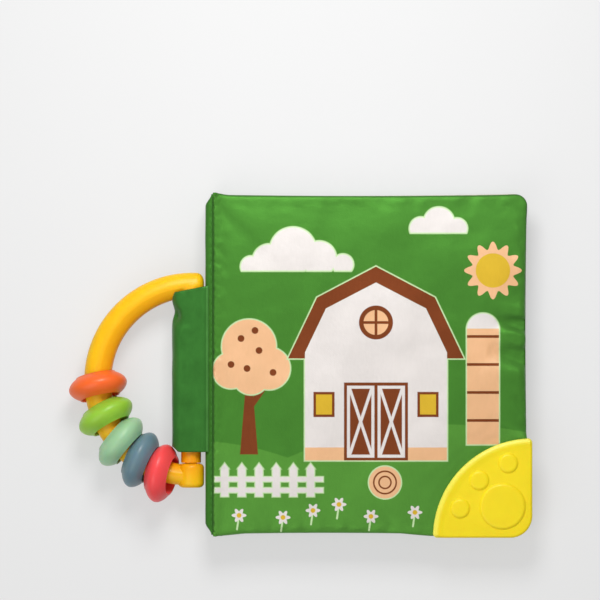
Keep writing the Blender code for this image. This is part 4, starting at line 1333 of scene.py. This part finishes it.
def ring_cutter(grow):
    """The space of the ring's upper end, a little larger, to cut the tab with."""
    section = ring_section(3)
    loops = []
    for middle, out, size in ring_line(CUT_STEPS)[:CUT_SECTIONS]:
        loop = []
        for p in section:
            reach = p.length * size * MM
            stretch = (reach + grow) / reach * size * MM
            loop.append(middle + (out * p.x + Vector((0.0, 0.0, p.y))) * stretch)
        loops.append(loop)
    return loft("ring space", loops)


# The seam tape: where it runs, half its length, how far it bulges and its thickness
TAPE_X = -76.55 * MM
TAPE_HALF = 83.6 * MM
TAPE_BULGE = 0.10 * MM
TAPE_THICKNESS = 0.3 * MM


def build_webs(cloth):
    """The seam tape that joins each leaf to the next along the spine."""
    heights = {"book": 3.0 * MM, "leaf_2": 8.6 * MM, "leaf_1": 13.45 * MM, "front_cover": 20.2 * MM}
    bodies = list(heights)
    for lower, upper in zip(bodies, bodies[1:]):
        start, end = heights[lower], heights[upper]
        rows = []
        for step in range(61):
            y = -TAPE_HALF + 2 * TAPE_HALF * step / 60
            row = []
            for k in range(13):
                share = k / 12
                z = start + (end - start) * share
                x = TAPE_X + TAPE_BULGE * math.sin(math.pi * share) * (1 + pucker(y, start * 1000))
                row.append((x, y, z))
            rows.append(row)
        piece = loft(f"spine_tape_{lower}", rows, cloth, around=False)
        thicken(piece, TAPE_THICKNESS)
        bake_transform(piece)


def area_light(name, location, target, size, power):
    """A white lamp that faces its target."""
    light = bpy.data.lights.new(name, "AREA")
    light.size = size
    light.energy = power
    obj = bpy.data.objects.new(name, light)
    bpy.context.scene.collection.objects.link(obj)
    obj.location = location
    obj.rotation_euler = (Vector(target) - Vector(location)).to_track_quat("-Z", "Y").to_euler()


def build_studio():
    """A bright floor that camera and mirrors see glowing and lightly shaded, and two lamps."""
    scene = bpy.context.scene
    scene.view_settings.view_transform = "Standard"
    world = bpy.data.worlds.new("studio")
    scene.world = world
    world.use_nodes = True
    background = world.node_tree.nodes["Background"]
    background.inputs["Color"].default_value = (1.0, 1.0, 1.0, 1.0)
    background.inputs["Strength"].default_value = WORLD_STRENGTH

    floor_paint = Paint("floor", FLOOR_COLOUR, 0.8, specular=0.1)
    light_path = floor_paint.tree.nodes.new("ShaderNodeLightPath").outputs
    seen = floor_paint.sum("ADD", light_path["Is Camera Ray"], light_path["Is Glossy Ray"])
    seen = floor_paint.sum("ADD", seen, light_path["Is Transmission Ray"], clamp=True)
    floor_paint.colour = floor_paint.mix(seen, FLOOR_COLOUR, FLOOR_SHADED)
    floor_paint.vary(floor_paint.noise(60.0), 0.01)
    floor_paint.shader.inputs["Emission Color"].default_value = (1.0, 1.0, 1.0, 1.0)
    glow = floor_paint.sum("MULTIPLY", seen, FLOOR_GLOW)
    floor_paint.feed(floor_paint.shader.inputs["Emission Strength"], glow)
    mesh = bpy.data.meshes.new("floor")
    half = FLOOR_HALF
    corners = [(-half, -half, 0), (half, -half, 0), (half, half, 0), (-half, half, 0)]
    mesh.from_pydata(corners, [], [(0, 1, 2, 3)])
    floor = new_object("floor", mesh, floor_paint.finish())
    floor.location.z = FLOOR_HEIGHT

    for lamp in LAMPS:
        area_light(*lamp)


def build_camera():
    """Straight down on the cover, in the photograph's frame."""
    cover_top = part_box("front_cover_cloth")[1].z
    width = IMAGE_PIXELS * METRES_PER_PIXEL
    data = bpy.data.cameras.new("camera")
    data.sensor_width = SENSOR_WIDTH_MM
    data.lens = SENSOR_WIDTH_MM * (CAMERA_HEIGHT - cover_top) / width
    data.clip_end = 20.0
    camera = bpy.data.objects.new("camera", data)
    camera.location = VIEW_CENTRE + Vector((0.0, 0.0, CAMERA_HEIGHT))
    bpy.context.scene.collection.objects.link(camera)
    bpy.context.scene.camera = camera


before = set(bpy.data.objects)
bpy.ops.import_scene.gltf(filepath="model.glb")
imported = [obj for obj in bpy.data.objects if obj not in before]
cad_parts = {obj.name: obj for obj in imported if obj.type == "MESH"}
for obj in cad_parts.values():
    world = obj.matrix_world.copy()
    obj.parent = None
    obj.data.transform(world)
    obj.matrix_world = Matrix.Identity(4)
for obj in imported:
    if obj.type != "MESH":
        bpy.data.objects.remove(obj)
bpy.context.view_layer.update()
build_camera()
build_studio()

farm_cloth = printed_cloth("farm print", GREEN, farm_print)
plain_green = plain_cloth("cover green", GREEN)
# painted shade: the spine fold's cloth is the cover's green made darker
shaded_spine_green = plain_cloth("spine green in painted shade", SHADED_SPINE_GREEN)
tab_paint = cloth_paint("tab green", TAB_GREEN)
# painted highlight: a lighter green band painted along the hem's fold
tab_paint.print(TAB_HIGHLIGHT_GREEN, tab_paint.box(*TAB_HEM_HIGHLIGHT), edge=0.5)
tab_paint.vary(tab_paint.noise(11.0, detail=3.0, roughness=0.6), 0.30)
tab_cloth = cloth_finish(tab_paint)
meadow_cloth = printed_cloth("meadow print", CREAM, meadow_print)
dots_cloth = printed_cloth("dots print", CREAM, dots_print, PEACH, SKY)
stripes_cloth = printed_cloth("stripes print", CREAM, stripes_print, (ORANGE, GOLD, HILL_GREEN, SKY, PINK))
spots_cloth = printed_cloth("spots print", CREAM, dots_print, HILL_GREEN, GOLD)
tape_cloth = plain_cloth("tape green", GREEN)
thread = plain_cloth("thread green", (0.05, 0.19, 0.03))

build_leaves({
    "front_cover": (farm_cloth, dots_cloth),
    "leaf_1": (meadow_cloth, stripes_cloth),
    "leaf_2": (spots_cloth, meadow_cloth),
    "back_cover": (stripes_cloth, plain_green),
})
build_spine(shaded_spine_green, thread)
build_webs(tape_cloth)

# painted shade: within 45 mm of the ring's middle, on the arc's inner side and the bar, the yellow is painted
# a deeper orange, fading over 9 mm
ring_plastic = moulded_plastic("ring yellow", (0.97, 0.54, 0.006), specular=0.25,
                               inside=((0.96, 0.36, 0.002), RING_CENTRE, 45.0 * MM, 9.0 * MM))
build_ring(ring_plastic)
build_sleeve(tab_cloth)
build_beads({
    "bead_orange": moulded_plastic("bead orange", (0.95, 0.15, 0.020)),
    "bead_lime": moulded_plastic("bead lime", (0.32, 0.61, 0.045)),
    "bead_mint": moulded_plastic("bead mint", (0.36, 0.62, 0.36)),
    "bead_blue": moulded_plastic("bead blue", (0.14, 0.24, 0.29)),
    "bead_coral": moulded_plastic("bead coral", (0.97, 0.075, 0.080)),
})
# painted highlight: the pale yellow beyond 47.9 mm from the corner is a highlight painted along the arc's
# rim; the deeper yellow within it is the teether's own colour
build_teether(moulded_plastic("teether yellow", (0.97, 0.86, 0.10), 0.42, coat=0.03, subsurface=0.15,
                              inside=((0.96, 0.74, 0.004), TEETHER_CORNER, 47.9 * MM, 2.6 * MM)))
